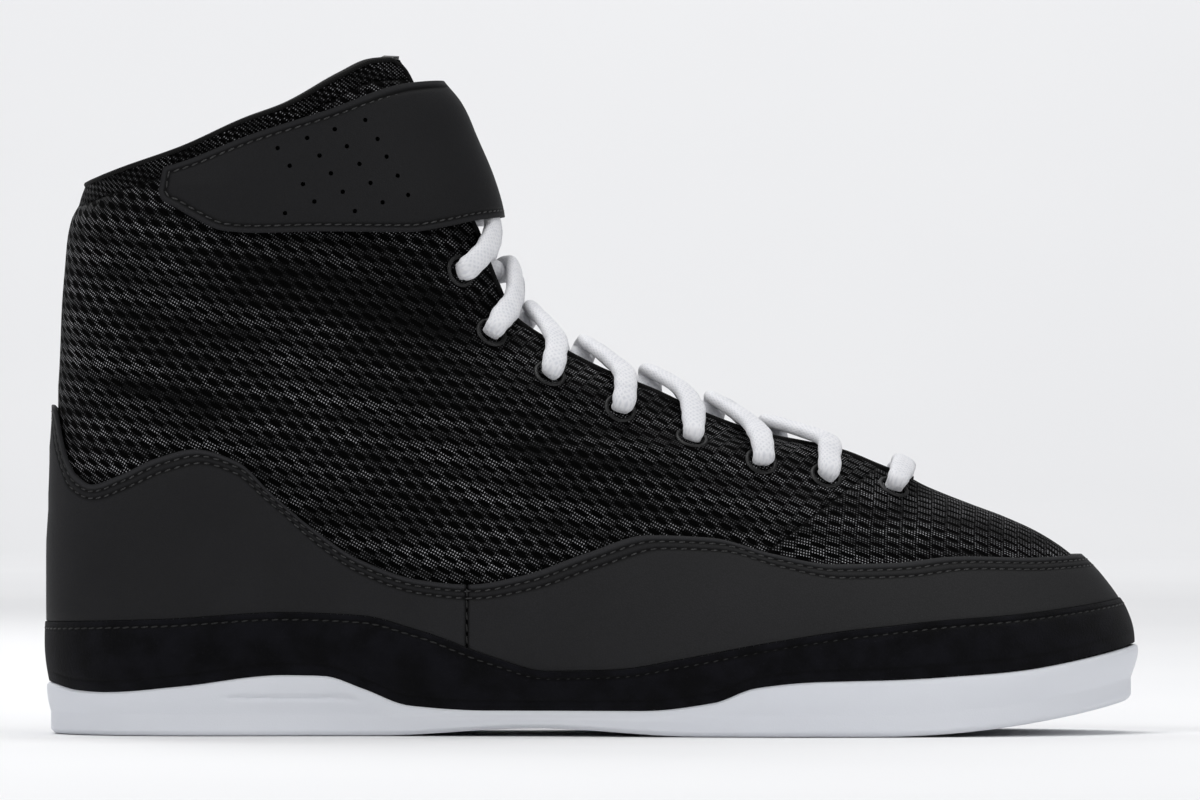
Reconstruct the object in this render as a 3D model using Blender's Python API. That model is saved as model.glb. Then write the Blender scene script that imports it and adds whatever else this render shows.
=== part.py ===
"""Wrestling shoe, right foot: high soft upper, side overlays, cup sole, laces and one ankle strap.

Metres. +X toward the toe, +Y toward the inner (medial) side, +Z up, the outer (lateral) side faces -Y.
The origin is the centre of the heel's flat spot on the floor.
Heights are measured on a flat last, and toe_lift then raises everything toward the toe.
"""
import math

import bmesh
import bpy
from mathutils import Vector

# main sizes
shoe_length = 0.296
collar_height = 0.182
upper_width = 0.100
heel_spot = 0.0455
toe_spring = 0.010
spring_start = 0.222
toe_swing = 0.008
swing_start = 0.150

# thicknesses and gaps
upper_wall = 0.0020
fit_gap = 0.0003
overlay_gap = 0.0008
foxing_thick = 0.0010
rand_thick = 0.0012
insole_thick = 0.0030
tongue_thick = 0.0038
strap_thick = 0.0022
strap_lift = 0.0005
binding_width = 0.0011
binding_depth = 0.0026

# sole
sole_floor = 0.0055
sole_wall = 0.0024
sole_bulge = 0.0010
sole_bevel = 0.0012
arch_rise = 0.0020
arch_back = 0.088
arch_front = 0.176
groove_width = 0.0022
groove_depth = 0.0014
heel_grooves = 5
toe_grooves = 9
side_groove_height = 0.0010
side_groove_depth = 0.0009

# throat, laces and eyelets
throat_half = 0.0135
throat_toe = 0.233
eyelet_radius = 0.0023
lace_half_width = 0.0026
lace_half_thick = 0.0010
lace_hole_radius = 0.0012
lace_clear = 0.0009
lace_over = 0.0022

# ring columns on each side, and what the holes and bars are divided into
side_columns = 22
hole_sides = 8
lace_sides = 6

# height and lengthways shares: the side profile of the last, ring by ring
form_columns = ("height", "back", "front", "front_round", "back_round")
form_rows = (
    (0.032, 0.012, 0.976, 0.240, 0.125),
    (0.077, 0.005, 0.985, 0.245, 0.125),
    (0.132, 0.002, 0.977, 0.250, 0.125),
    (0.187, 0.001, 0.958, 0.250, 0.125),
    (0.236, 0.001, 0.933, 0.245, 0.128),
    (0.275, 0.001, 0.905, 0.240, 0.130),
    (0.308, 0.002, 0.872, 0.238, 0.130),
    (0.335, 0.003, 0.838, 0.238, 0.132),
    (0.360, 0.003, 0.806, 0.258, 0.135),
    (0.393, 0.004, 0.770, 0.290, 0.138),
    (0.420, 0.004, 0.733, 0.315, 0.140),
    (0.442, 0.005, 0.670, 0.320, 0.142),
    (0.473, 0.006, 0.618, 0.315, 0.145),
    (0.509, 0.006, 0.571, 0.290, 0.148),
    (0.540, 0.007, 0.522, 0.270, 0.150),
    (0.578, 0.008, 0.475, 0.235, 0.152),
    (0.623, 0.009, 0.434, 0.195, 0.155),
    (0.668, 0.011, 0.420, 0.180, 0.158),
    (0.758, 0.020, 0.398, 0.175, 0.160),
    (0.797, 0.028, 0.385, 0.174, 0.160),
    (0.879, 0.045, 0.366, 0.172, 0.160),
    (1.000, 0.068, 0.331, 0.170, 0.160),
)

# half widths as shares of upper_width, at four heights
girth_heights = {"base": 0.032, "low": 0.140, "high": 0.410, "shaft": 0.800}
girth_columns = ("along", "outer_base", "outer_low", "inner_base", "inner_low", "high", "shaft")
girth_rows = (
    (0.000, 0.300, 0.330, 0.290, 0.320, 0.310, 0.340),
    (0.170, 0.295, 0.330, 0.285, 0.325, 0.320, 0.350),
    (0.304, 0.275, 0.335, 0.255, 0.325, 0.340, 0.360),
    (0.439, 0.310, 0.370, 0.262, 0.340, 0.350, 0.365),
    (0.574, 0.390, 0.430, 0.350, 0.390, 0.340, 0.365),
    (0.693, 0.435, 0.465, 0.440, 0.465, 0.335, 0.365),
    (0.828, 0.440, 0.460, 0.450, 0.470, 0.345, 0.365),
    (1.000, 0.440, 0.460, 0.450, 0.470, 0.345, 0.365),
)

# edges seen from the side: share of shoe_length, then share of collar_height
topline_columns = ("along", "height")
topline_rows = (
    (0.030, 0.813), (0.064, 0.833), (0.123, 0.865), (0.180, 0.906),
    (0.216, 0.927), (0.267, 0.973), (0.297, 0.995), (0.331, 1.000),
)
foxing_columns = ("along", "height")
foxing_rows = (
    (0.005, 0.490), (0.009, 0.480), (0.016, 0.430), (0.021, 0.404), (0.029, 0.382), (0.043, 0.369),
    (0.067, 0.382), (0.100, 0.408), (0.135, 0.422), (0.173, 0.404), (0.205, 0.356), (0.243, 0.304),
    (0.284, 0.260), (0.338, 0.230), (0.384, 0.223), (0.432, 0.236), (0.489, 0.268), (0.545, 0.294),
    (0.601, 0.290), (0.657, 0.266), (0.713, 0.250), (0.770, 0.251), (0.811, 0.255), (0.900, 0.236),
    (0.960, 0.222),
)
foxing_seam = 0.3818
rand_columns = ("along", "height")
rand_rows = (
    (0.007, 0.166), (0.108, 0.171), (0.216, 0.181), (0.284, 0.177), (0.338, 0.155), (0.405, 0.118),
    (0.455, 0.098), (0.517, 0.100), (0.574, 0.114), (0.657, 0.138), (0.741, 0.157), (0.811, 0.164),
    (0.900, 0.158), (0.970, 0.150),
)
sole_edge_columns = ("along", "height")
sole_edge_rows = (
    (0.007, 0.076), (0.032, 0.066), (0.054, 0.064), (0.121, 0.073), (0.216, 0.090), (0.251, 0.089),
    (0.286, 0.071), (0.330, 0.045), (0.400, 0.038), (0.540, 0.038), (0.605, 0.050), (0.643, 0.072),
    (0.699, 0.081), (0.811, 0.084), (0.900, 0.080), (0.985, 0.080),
)
strap_columns = ("along", "lower", "upper")
strap_rows = (
    (0.105, 0.800, 0.822), (0.108, 0.788, 0.834), (0.119, 0.778, 0.840), (0.135, 0.763, 0.849),
    (0.162, 0.744, 0.868), (0.189, 0.741, 0.886), (0.250, 0.743, 0.919), (0.324, 0.742, 0.961),
    (0.359, 0.751, 0.966), (0.383, 0.760, 0.966), (0.415, 0.768, 0.966),
)
strap_front_columns = ("height", "reach")
strap_front_rows = (
    (0.735, 0.417), (0.768, 0.415), (0.827, 0.403), (0.888, 0.387), (0.934, 0.375), (0.966, 0.360),
)

# eyelets of one side, toe to ankle; the last one lies under the strap
eyelet_columns = ("along", "height")
eyelet_rows = (
    (0.769, 0.365), (0.707, 0.382), (0.648, 0.404), (0.585, 0.438), (0.520, 0.482),
    (0.456, 0.533), (0.403, 0.594), (0.375, 0.685), (0.357, 0.782),
)

materials = {
    "knit_black": ((0.016, 0.016, 0.018, 1.0), 0.90),
    "overlay_charcoal": ((0.030, 0.029, 0.032, 1.0), 0.62),
    "suede_black": ((0.010, 0.010, 0.012, 1.0), 0.95),
    "strap_charcoal": ((0.030, 0.029, 0.031, 1.0), 0.60),
    "binding_black": ((0.012, 0.012, 0.013, 1.0), 0.50),
    "rubber_white": ((0.620, 0.630, 0.640, 1.0), 0.55),
    "lace_white": ((0.680, 0.680, 0.690, 1.0), 0.85),
    "insole_black": ((0.020, 0.020, 0.021, 1.0), 0.92),
}


def clamp(value, low=0.0, high=1.0):
    return min(max(value, low), high)


def smooth_curve(stations, values, at):
    """Smooth curve through the values, with no overshoot between two of them."""
    if at <= stations[0]:
        return values[0]
    if at >= stations[-1]:
        return values[-1]
    last = len(stations) - 1
    slopes = [(values[i + 1] - values[i]) / (stations[i + 1] - stations[i]) for i in range(last)]

    def tangent(i):
        if i in (0, last):
            return slopes[0] if i == 0 else slopes[-1]
        before, after = slopes[i - 1], slopes[i]
        return 0.0 if before * after <= 0 else 2 * before * after / (before + after)

    i = max(k for k in range(last) if stations[k] <= at)
    step = stations[i + 1] - stations[i]
    t = (at - stations[i]) / step
    return ((1 + 2 * t) * (1 - t) ** 2 * values[i] + t * (1 - t) ** 2 * step * tangent(i)
            + t * t * (3 - 2 * t) * values[i + 1] + t * t * (t - 1) * step * tangent(i + 1))


def read(columns, rows, name, at):
    column = columns.index(name)
    return smooth_curve([row[0] for row in rows], [row[column] for row in rows], at)


def edge_height(columns, rows, x, name="height"):
    return collar_height * read(columns, rows, name, x / shoe_length)


def centre_line(x):
    return toe_swing * clamp((x - swing_start) / (shoe_length - swing_start)) ** 2


def toe_lift(x):
    return toe_spring * clamp((x - spring_start) / (shoe_length - spring_start), 0.0, 1.2) ** 2


def arch_height(x):
    return arch_rise * math.sin(math.pi * clamp((x - arch_back) / (arch_front - arch_back))) ** 2


def half_width(x, height, side):
    names = (side + "_base", side + "_low", "high", "shaft")
    widths = [read(girth_columns, girth_rows, name, x / shoe_length) for name in names]
    return upper_width * smooth_curve(list(girth_heights.values()), widths, height / collar_height)


def rounding(distance, radius):
    return math.sqrt(1 - (1 - clamp(distance / radius)) ** 2)


def ring_ends(height, front=None):
    share = clamp(height / collar_height, form_rows[0][0], 1.0)
    back = shoe_length * read(form_columns, form_rows, "back", share)
    if front is None:
        front = shoe_length * read(form_columns, form_rows, "front", share)
    return back, front, share


def ring_point(angle, height, front=None):
    """Point of the last's outside: angle 0 is the front middle, pi the back, under 0 the outer side."""
    angle = (angle + math.pi) % (2 * math.pi) - math.pi
    back, front, share = ring_ends(height, front)
    x = back + (front - back) * (1 + math.cos(angle)) / 2
    side = "outer" if angle < 0 else "inner"
    ends = (rounding(front - x, shoe_length * read(form_columns, form_rows, "front_round", share))
            * rounding(x - back, shoe_length * read(form_columns, form_rows, "back_round", share)))
    wide = half_width(x, share * collar_height, side) * ends
    return Vector((x, centre_line(x) + math.copysign(wide, angle), height))


def surface_normal(angle, height, front=None):
    turn = 0.01
    rise = 0.0004
    around = ring_point(angle + turn, height, front) - ring_point(angle - turn, height, front)
    upward = ring_point(angle, height + rise, front) - ring_point(angle, height - rise, front)
    return around.cross(upward).normalized()


def on_surface(angle, height, out=0.0, front=None):
    return ring_point(angle, height, front) + surface_normal(angle, height, front) * out


def sole_point(angle, height, out):
    """Point beside the last's lowest ring, moved out level with the floor."""
    level = max(height, form_rows[0][0] * collar_height)
    place = ring_point(angle, level)
    normal = surface_normal(angle, level)
    normal.z = 0
    place += normal.normalized() * out
    place.z = height
    return place


def side_angle(x, height, side):
    """Angle at which the ring of this height passes x, on one side (-1 outer, 1 inner)."""
    back, front, share = ring_ends(height)
    return side * math.acos(clamp(2 * (x - back) / (front - back) - 1, -1.0, 1.0))


def meeting_height(angle, height_at, front_at=None):
    """Height at which a column meets an edge that is given as height along the shoe."""
    height = 0.5 * collar_height
    for _ in range(24):
        front = front_at(height) if front_at else None
        height = 0.5 * height + 0.5 * height_at(ring_point(angle, height, front).x)
    return height


def column_angles():
    half = [math.pi * k / side_columns for k in range(side_columns)]
    return [-math.pi + a for a in half] + half


def topline_height(x):
    return edge_height(topline_columns, topline_rows, x)


def foxing_height(x):
    return edge_height(foxing_columns, foxing_rows, x)


def rand_height(x):
    return edge_height(rand_columns, rand_rows, x)


def sole_edge_height(x):
    return edge_height(sole_edge_columns, sole_edge_rows, x)


def add_object(name, points, faces, material=None):
    mesh = bpy.data.meshes.new(name)
    mesh.from_pydata([tuple(p) for p in points], [], faces)
    body = bmesh.new()
    body.from_mesh(mesh)
    bmesh.ops.remove_doubles(body, verts=body.verts, dist=0.00002)
    bmesh.ops.recalc_face_normals(body, faces=body.faces)
    body.to_mesh(mesh)
    body.free()
    thing = bpy.data.objects.new(name, mesh)
    bpy.context.collection.objects.link(thing)
    if material:
        thing.data.materials.append(bpy.data.materials[material])
    return thing


def shell(name, outer, inner, closed, material=None):
    """Solid between two grids of points, rows upward and columns around; closed rings join end to start."""
    rows, columns = len(outer), len(outer[0])
    points = [p for row in outer for p in row] + [p for row in inner for p in row]
    base = rows * columns
    spans = columns if closed else columns - 1
    faces = []

    def corner(row, column, layer=0):
        return layer * base + row * columns + column % columns

    for c in range(spans):
        for r in range(rows - 1):
            faces.append((corner(r, c), corner(r, c + 1), corner(r + 1, c + 1), corner(r + 1, c)))
            faces.append((corner(r + 1, c, 1), corner(r + 1, c + 1, 1), corner(r, c + 1, 1), corner(r, c, 1)))
        for r in (0, rows - 1):
            faces.append((corner(r, c), corner(r, c + 1), corner(r, c + 1, 1), corner(r, c, 1)))
    if not closed:
        for c in (0, columns - 1):
            for r in range(rows - 1):
                faces.append((corner(r, c), corner(r + 1, c), corner(r + 1, c, 1), corner(r, c, 1)))
    return add_object(name, points, faces, material)


def boolean(target, cutter, operation):
    modifier = target.modifiers.new(operation, "BOOLEAN")
    modifier.operation = operation
    modifier.solver = "EXACT"
    modifier.object = cutter
    bpy.context.view_layer.objects.active = target
    with bpy.context.temp_override(object=target, active_object=target, selected_objects=[target]):
        bpy.ops.object.modifier_apply(modifier=modifier.name)
    bpy.data.objects.remove(cutter, do_unlink=True)


def tidy(thing, distance=0.00003):
    body = bmesh.new()
    body.from_mesh(thing.data)
    bmesh.ops.remove_doubles(body, verts=body.verts, dist=distance)
    bmesh.ops.dissolve_degenerate(body, edges=body.edges, dist=distance)
    bmesh.ops.recalc_face_normals(body, faces=body.faces)
    body.to_mesh(thing.data)
    body.free()


def sweep(name, stations, sides, closed, material=None):
    """Bar through stations (place, wide axis, thin axis, half width, half thickness)."""
    points = []
    for place, wide, thin, half_wide, half_thin in stations:
        for k in range(sides):
            turn = 2 * math.pi * (k + 0.5) / sides
            points.append(place + wide * half_wide * math.cos(turn) + thin * half_thin * math.sin(turn))
    count = len(stations)
    faces = []
    for r in range(count if closed else count - 1):
        near, far = r * sides, (r + 1) % count * sides
        for k in range(sides):
            after = (k + 1) % sides
            faces.append((near + k, near + after, far + after, far + k))
    if not closed:
        faces.append(tuple(range(sides)))
        faces.append(tuple((count - 1) * sides + k for k in range(sides)))
    return add_object(name, points, faces, material)


def make_materials():
    for name, (colour, roughness) in materials.items():
        material = bpy.data.materials.new(name)
        material.use_nodes = True
        shader = material.node_tree.nodes["Principled BSDF"]
        shader.inputs["Base Color"].default_value = colour
        shader.inputs["Roughness"].default_value = roughness


def throat_half_at(x):
    """Half the throat's opening: narrower toward its toe end."""
    return throat_half * (0.66 + 0.34 * clamp((throat_toe - x) / (0.25 * shoe_length)))


def throat_outline(grow=0.0):
    """Plan of the throat's opening, a long slot with a round toe end."""
    back = 0.30 * throat_toe
    end_radius = throat_half_at(throat_toe) - grow
    centre = throat_toe - throat_half_at(throat_toe)
    stations = [back + (centre - back) * k / 12 for k in range(13)]
    side = [(x, throat_half_at(x) - grow) for x in stations]
    end = [(centre + end_radius * math.sin(math.pi * k / 8), end_radius * math.cos(math.pi * k / 8))
           for k in range(1, 8)]
    loop = [(x, centre_line(x) + w) for x, w in side]
    loop += [(x, centre_line(x) + w) for x, w in end]
    loop += [(x, centre_line(x) - w) for x, w in reversed(side)]
    return loop


def make_upper():
    levels = (0.032, 0.085, 0.145, 0.205, 0.255, 0.295, 0.330, 0.360, 0.390, 0.420, 0.448, 0.480, 0.520,
              0.560, 0.592, 0.624, 0.660, 0.710, 0.800, 0.900, 1.000)
    bottom = form_rows[0][0] * collar_height
    top = [meeting_height(a, topline_height) for a in column_angles()]
    rise = [(level - levels[0]) / (1 - levels[0]) for level in levels]

    def grid(out):
        return [[on_surface(a, bottom + (t - bottom) * share, out) for a, t in zip(column_angles(), top)]
                for share in rise]

    inner = grid(-upper_wall)
    for row in (0, -1):
        for point, outside in zip(inner[row], grid(0.0)[row]):
            point.z = outside.z
    upper = shell("upper", grid(0.0), inner, True, "knit_black")
    plan = throat_outline()
    low, high = 0.30 * collar_height, 1.2 * collar_height
    count = len(plan)
    points = [Vector((x, y, z)) for z in (low, high) for x, y in plan]
    faces = [(k, (k + 1) % count, (k + 1) % count + count, k + count) for k in range(count)]
    faces += [tuple(range(count)), tuple(range(count, 2 * count))]
    boolean(upper, add_object("throat_cutter", points, faces), "DIFFERENCE")
    boolean(upper, make_eyelet_cutter(), "DIFFERENCE")
    tidy(upper)
    return upper


def eyelet_place(number, side):
    eyelet = dict(zip(eyelet_columns, eyelet_rows[number]))
    height = eyelet["height"] * collar_height
    return side_angle(eyelet["along"] * shoe_length, height, side), height


def make_eyelet_cutter():
    points, faces = [], []
    for number in range(len(eyelet_rows)):
        for side in (-1, 1):
            angle, height = eyelet_place(number, side)
            normal = surface_normal(angle, height)
            place = ring_point(angle, height)
            across = normal.cross(Vector((1, 0, 0))).normalized()
            along = across.cross(normal)
            start = len(points)
            for depth in (-upper_wall * 3, upper_wall * 2):
                for k in range(hole_sides):
                    turn = 2 * math.pi * k / hole_sides
                    points.append(place + normal * depth + along * eyelet_radius * math.cos(turn)
                                  + across * eyelet_radius * math.sin(turn))
            faces += [(start + k, start + (k + 1) % hole_sides, start + (k + 1) % hole_sides + hole_sides,
                       start + k + hole_sides) for k in range(hole_sides)]
            faces += [tuple(start + k for k in range(hole_sides)),
                      tuple(start + hole_sides + k for k in range(hole_sides))]
    return add_object("eyelet_cutter", points, faces)


def overlay_column(angle, low_edge, high_edge, shares, out, end_x):
    """One column between the two edges, upright at end_x where a piece ends there."""
    if end_x is None:
        low, high = meeting_height(angle, low_edge), meeting_height(angle, high_edge)
        return [on_surface(angle, low + (high - low) * share, out) for share in shares]
    low, high = low_edge(end_x), high_edge(end_x)
    side = math.copysign(1, angle)
    heights = [low + (high - low) * share for share in shares]
    return [on_surface(side_angle(end_x, height, side), height, out) for height in heights]


def make_overlay(name, low_edge, high_edge, thick, material, keep=None, shares=(0.0, 1.0), end_x=None):
    """Piece laid on the upper between two edges; keep picks its columns, or all of them go round."""
    angles = column_angles() if keep is None else keep
    grids = []
    for out in (overlay_gap + thick, overlay_gap):
        columns = []
        for number, angle in enumerate(angles):
            at_end = number in (0, len(angles) - 1)
            columns.append(overlay_column(angle, low_edge, high_edge, shares, out, end_x if at_end else None))
        grids.append([list(row) for row in zip(*columns)])
    for outer, inner in zip(grids[0], grids[1]):
        for outside, inside in zip(outer, inner):
            outside.z = inside.z
    return shell(name, grids[0], grids[1], keep is None, material)


def make_overlays():
    def above_sole(x):
        return sole_edge_height(x) + overlay_gap

    def above_rand(x):
        return rand_height(x) + overlay_gap

    make_overlay("rand", above_sole, rand_height, rand_thick, "suede_black", shares=(0.0, 0.4, 0.75, 1.0))
    seam_height = 0.18 * collar_height
    clear = 0.06
    angles = column_angles()
    rows = (0.0, 0.33, 0.67, 1.0)
    for name, sign in (("foxing_heel", -1), ("foxing_toe", 1)):
        seam = foxing_seam * shoe_length + sign * fit_gap / 2
        outer_end = side_angle(seam, seam_height, -1)
        inner_end = side_angle(seam, seam_height, 1)
        if sign < 0:
            keep = [outer_end] + [a for a in reversed(angles) if a < outer_end - clear]
            keep += [a for a in reversed(angles) if a > inner_end + clear] + [inner_end]
            keep = sorted(a if a > 0 else a + 2 * math.pi for a in keep)
            keep = [a if a <= math.pi else a - 2 * math.pi for a in keep]
        else:
            keep = [outer_end] + [a for a in angles if outer_end + clear < a < inner_end - clear] + [inner_end]
        make_overlay(name, above_rand, foxing_height, foxing_thick, "overlay_charcoal", keep, rows, seam)


def make_outsole():
    angles = column_angles()
    outside = fit_gap + sole_wall
    edges = [meeting_height(a, sole_edge_height) for a in angles]
    floors = [arch_height(sole_point(a, 0.0, 0.0).x) for a in angles]

    def mix(low, high, share):
        return low + (high - low) * share

    rings = [
        [sole_point(a, sole_floor, fit_gap) for a in angles],
        [sole_point(a, mix(sole_floor, e, 0.5), fit_gap) for a, e in zip(angles, edges)],
        [sole_point(a, e, fit_gap) for a, e in zip(angles, edges)],
        [sole_point(a, e, outside) for a, e in zip(angles, edges)],
        [sole_point(a, mix(f, e, 0.62), outside + sole_bulge) for a, e, f in zip(angles, edges, floors)],
        [sole_point(a, f + sole_bevel, outside + sole_bulge) for a, f in zip(angles, floors)],
        [sole_point(a, f, outside + sole_bulge - sole_bevel) for a, f in zip(angles, floors)],
    ]
    count = len(angles)
    points = [p for ring in rings for p in ring]
    faces = []
    for r in range(len(rings) - 1):
        for k in range(count):
            after = (k + 1) % count
            faces.append((r * count + k, r * count + after, (r + 1) * count + after, (r + 1) * count + k))
    for ring, split in ((0, 3), (len(rings) - 1, 5)):
        faces += cross_strips(points, [ring * count + k for k in range(count)], split)
    sole = add_object("outsole", points, faces, "rubber_white")
    boolean(sole, make_groove_cutter(), "DIFFERENCE")
    for side in (-1, 1):
        boolean(sole, make_side_groove(side), "DIFFERENCE")
    tidy(sole)
    return sole


def cross_strips(points, ring, split):
    """Faces across a flat ring, from each outer-side column to the inner-side one at the same place."""
    half = len(ring) // 2
    faces = []
    previous = [ring[0]] * (split + 1)
    for k in range(1, half):
        one, other = ring[k], ring[-k]
        row = [one]
        for part in range(1, split):
            points.append(points[one].lerp(points[other], part / split))
            row.append(len(points) - 1)
        row.append(other)
        for part in range(split):
            corners = [previous[part], previous[part + 1], row[part + 1], row[part]]
            faces.append(tuple(dict.fromkeys(corners)))
        previous = row
    last = ring[half]
    for part in range(split):
        faces.append((previous[part], previous[part + 1], last))
    return faces


def make_groove_cutter():
    """Cross grooves of the tread, kept inside the sole's outline."""
    points, faces = [], []
    margin = 0.009
    places = [0.055 + 0.225 * k / (heel_grooves - 1) for k in range(heel_grooves)]
    places += [0.620 + 0.300 * k / (toe_grooves - 1) for k in range(toe_grooves)]
    for share in places:
        x = share * shoe_length
        ends = []
        for side in (-1, 1):
            angle = side_angle(x, form_rows[0][0] * collar_height, side)
            ends.append(ring_point(angle, form_rows[0][0] * collar_height).y - side * margin)
        floor = arch_height(x)
        start = len(points)
        bend = 0.004
        stops = (0.0, 0.5, 1.0)
        for depth in (floor - 0.002, floor + groove_depth):
            for part in stops:
                y = ends[0] + (ends[1] - ends[0]) * part
                shift = bend * (1 - (2 * part - 1) ** 2)
                points.append(Vector((x + shift - groove_width / 2, y, depth)))
                points.append(Vector((x + shift + groove_width / 2, y, depth)))
        for layer in (0, 6):
            for part in (0, 2):
                faces.append(tuple(start + layer + part + k for k in (0, 1, 3, 2)))
        for part in (0, 2):
            faces.append(tuple(start + k for k in (part, part + 2, part + 8, part + 6)))
            faces.append(tuple(start + k for k in (part + 1, part + 3, part + 9, part + 7)))
        faces.append(tuple(start + k for k in (0, 1, 7, 6)))
        faces.append(tuple(start + k for k in (4, 5, 11, 10)))
    return add_object("groove_cutter", points, faces)


def make_side_groove(side):
    height = 0.056 * collar_height
    first, last = 0.165 * shoe_length, 0.278 * shoe_length
    angles = [side_angle(first + (last - first) * k / 5, height, side) for k in range(6)]
    surface = fit_gap + sole_wall + sole_bulge
    grids = []
    for out in (surface + 0.002, surface - side_groove_depth):
        grids.append([[sole_point(a, height + rise, out) for a in angles]
                      for rise in (-side_groove_height / 2, side_groove_height / 2)])
    return shell("side_groove_cutter", grids[0], grids[1], False)


def make_insole():
    angles = column_angles()
    inside = -(upper_wall + fit_gap)
    bottom = sole_floor + fit_gap
    rings = [[sole_point(a, bottom + rise, inside) for a in angles] for rise in (0.0, insole_thick)]
    for point_low, point_high in zip(*rings):
        point_high.x, point_high.y = point_low.x, point_low.y
    count = len(angles)
    points = [p for ring in rings for p in ring]
    faces = [(k, (k + 1) % count, (k + 1) % count + count, k + count) for k in range(count)]
    for ring in (0, 1):
        faces += cross_strips(points, [ring * count + k for k in range(count)], 1)
    return add_object("insole", points, faces, "insole_black")


def tongue_out(share):
    """How far under the last's outside the tongue's face lies: nearest in the middle of the throat."""
    under_facing = upper_wall + 2 * lace_half_thick + 2 * lace_clear + fit_gap
    middle = 0.66 * under_facing
    blend = clamp(abs(share) / 0.42)
    blend = blend * blend * (3 - 2 * blend)
    return -(middle + (under_facing - middle) * blend)


def make_tongue():
    heights = [0.370, 0.395, 0.415, 0.435, 0.455, 0.480, 0.510, 0.545, 0.575, 0.600, 0.625, 0.650, 0.690,
               0.760, 0.830, 0.900, 0.965, 1.015]
    shares = (-1.0, -0.72, -0.42, -0.2, 0.0, 0.2, 0.42, 0.72, 1.0)
    wing = 0.0265
    outer, inner = [], []
    for height in heights:
        z = height * collar_height
        level = min(z, collar_height)
        shrink = 1 - 0.30 * clamp((0.46 - height) / 0.09)
        if height > 0.95:
            shrink *= 1 - 0.25 * clamp((height - 0.95) / 0.065)
        rows = ([], [])
        for share in shares:
            angle = reach_angle(level, wing * shrink * abs(share)) * (-1 if share < 0 else 1)
            for row, extra in zip(rows, (0.0, tongue_thick)):
                taper = 1 - 0.45 * abs(share) ** 3
                point = on_surface(angle, level, tongue_out(share) - extra * taper)
                point.z += z - level
                row.append(point)
        outer.append(rows[0])
        inner.append(rows[1])
    return shell("tongue", outer, inner, False, "knit_black")


def reach_angle(height, distance):
    """Angle at which the ring stands this far from the centre line, near the front."""
    low, high = 0.0, 1.5
    for _ in range(30):
        middle = (low + high) / 2
        point = ring_point(middle, height)
        if abs(point.y - centre_line(point.x)) < distance:
            low = middle
        else:
            high = middle
    return (low + high) / 2


def make_binding():
    """Bead round the whole opening: up both throat edges and along the topline."""
    clear = fit_gap + binding_width / 2
    radius = throat_half_at(throat_toe) - clear
    centre = throat_toe - throat_half_at(throat_toe)
    edge = []
    for k in range(5):
        turn = math.pi / 2 * k / 4
        x = centre + radius * math.cos(turn)
        height = throat_height(x, radius * math.sin(turn))
        edge.append((reach_angle(height, radius * math.sin(turn)), height))
    first = edge[-1][1]
    for share in (0.03, 0.07, 0.12, 0.18, 0.25, 0.33, 0.42, 0.52, 0.63, 0.75, 0.87, 0.96):
        height = first + (collar_height - first) * share
        angle = reach_angle(height, throat_half - clear)
        angle = reach_angle(height, throat_half_at(ring_point(angle, height).x) - clear)
        edge.append((angle, height))
    stations = []
    for side in (1, -1):
        run = []
        for angle, height in edge if side > 0 else edge[1:]:
            normal = surface_normal(side * angle, height)
            place = ring_point(side * angle, height) - normal * (upper_wall / 2)
            run.append((place, normal))
        angle, height = side * edge[-1][0], collar_height + clear
        normal = surface_normal(angle, collar_height - binding_depth)
        corner = ring_point(angle, collar_height) - normal * (upper_wall / 2)
        corner.z = height
        run.append((corner, normal))
        stations += run if side > 0 else run[::-1]
        if side > 0:
            stations += topline_stations(clear)
    places = [place for place, _ in stations]
    bars = []
    for k, (place, normal) in enumerate(stations):
        tangent = (places[(k + 1) % len(places)] - places[k - 1]).normalized()
        wide = (normal - tangent * normal.dot(tangent)).normalized()
        bars.append((place, wide, tangent.cross(wide), binding_depth / 2, binding_width / 2))
    return sweep("opening_binding", bars, 4, True, "binding_black")


def topline_stations(clear):
    """Places just over the upper's top rim, from the inner side round the heel to the outer side."""
    stations = []
    angles = sorted((a if a > 0 else a + 2 * math.pi) for a in column_angles())
    for angle in angles:
        height = meeting_height(angle, topline_height)
        normal = surface_normal(angle, height)
        normal.z = 0
        normal.normalize()
        place = ring_point(angle, height) - normal * (upper_wall / 2)
        if abs(place.y) < throat_half + 0.004 and place.x > 0.5 * shoe_length * 0.36:
            continue
        place.z = height + clear
        stations.append((place, normal))
    return stations


def throat_height(x, distance):
    """Height at which the outside passes over a place of the plan, this far from the centre line."""
    low, high = 0.30 * collar_height, collar_height
    for _ in range(40):
        middle = (low + high) / 2
        back, front, share = ring_ends(middle)
        if front <= x:
            high = middle
            continue
        point = ring_point(side_angle(x, middle, 1), middle)
        if abs(point.y - centre_line(point.x)) > distance:
            low = middle
        else:
            high = middle
    return (low + high) / 2


def crossing_place(one, other, share):
    """Angle and height on the last's outside, on the straight way between two eyelets."""
    start, end = ring_point(*one), ring_point(*other)
    outward = surface_normal(*one) + surface_normal(*other)
    beside = (end - start).cross(outward).normalized()
    angle = one[0] + (other[0] - one[0]) * share
    low, high = 0.33 * collar_height, 0.92 * collar_height
    rising = (ring_point(angle, high) - start).dot(beside) > 0
    for _ in range(26):
        middle = (low + high) / 2
        if ((ring_point(angle, middle) - start).dot(beside) > 0) == rising:
            high = middle
        else:
            low = middle
    return angle, (low + high) / 2


def crossing_at(one, other, reach):
    """Place on that way which stands this far from the centre line, counted in half throats."""
    low, high = 0.0, 1.0
    sign = 1 if other[0] > one[0] else -1
    for _ in range(20):
        middle = (low + high) / 2
        place = ring_point(*crossing_place(one, other, middle))
        if sign * (place.y - centre_line(place.x)) < reach * throat_half_at(place.x):
            low = middle
        else:
            high = middle
    return crossing_place(one, other, (low + high) / 2)


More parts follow.
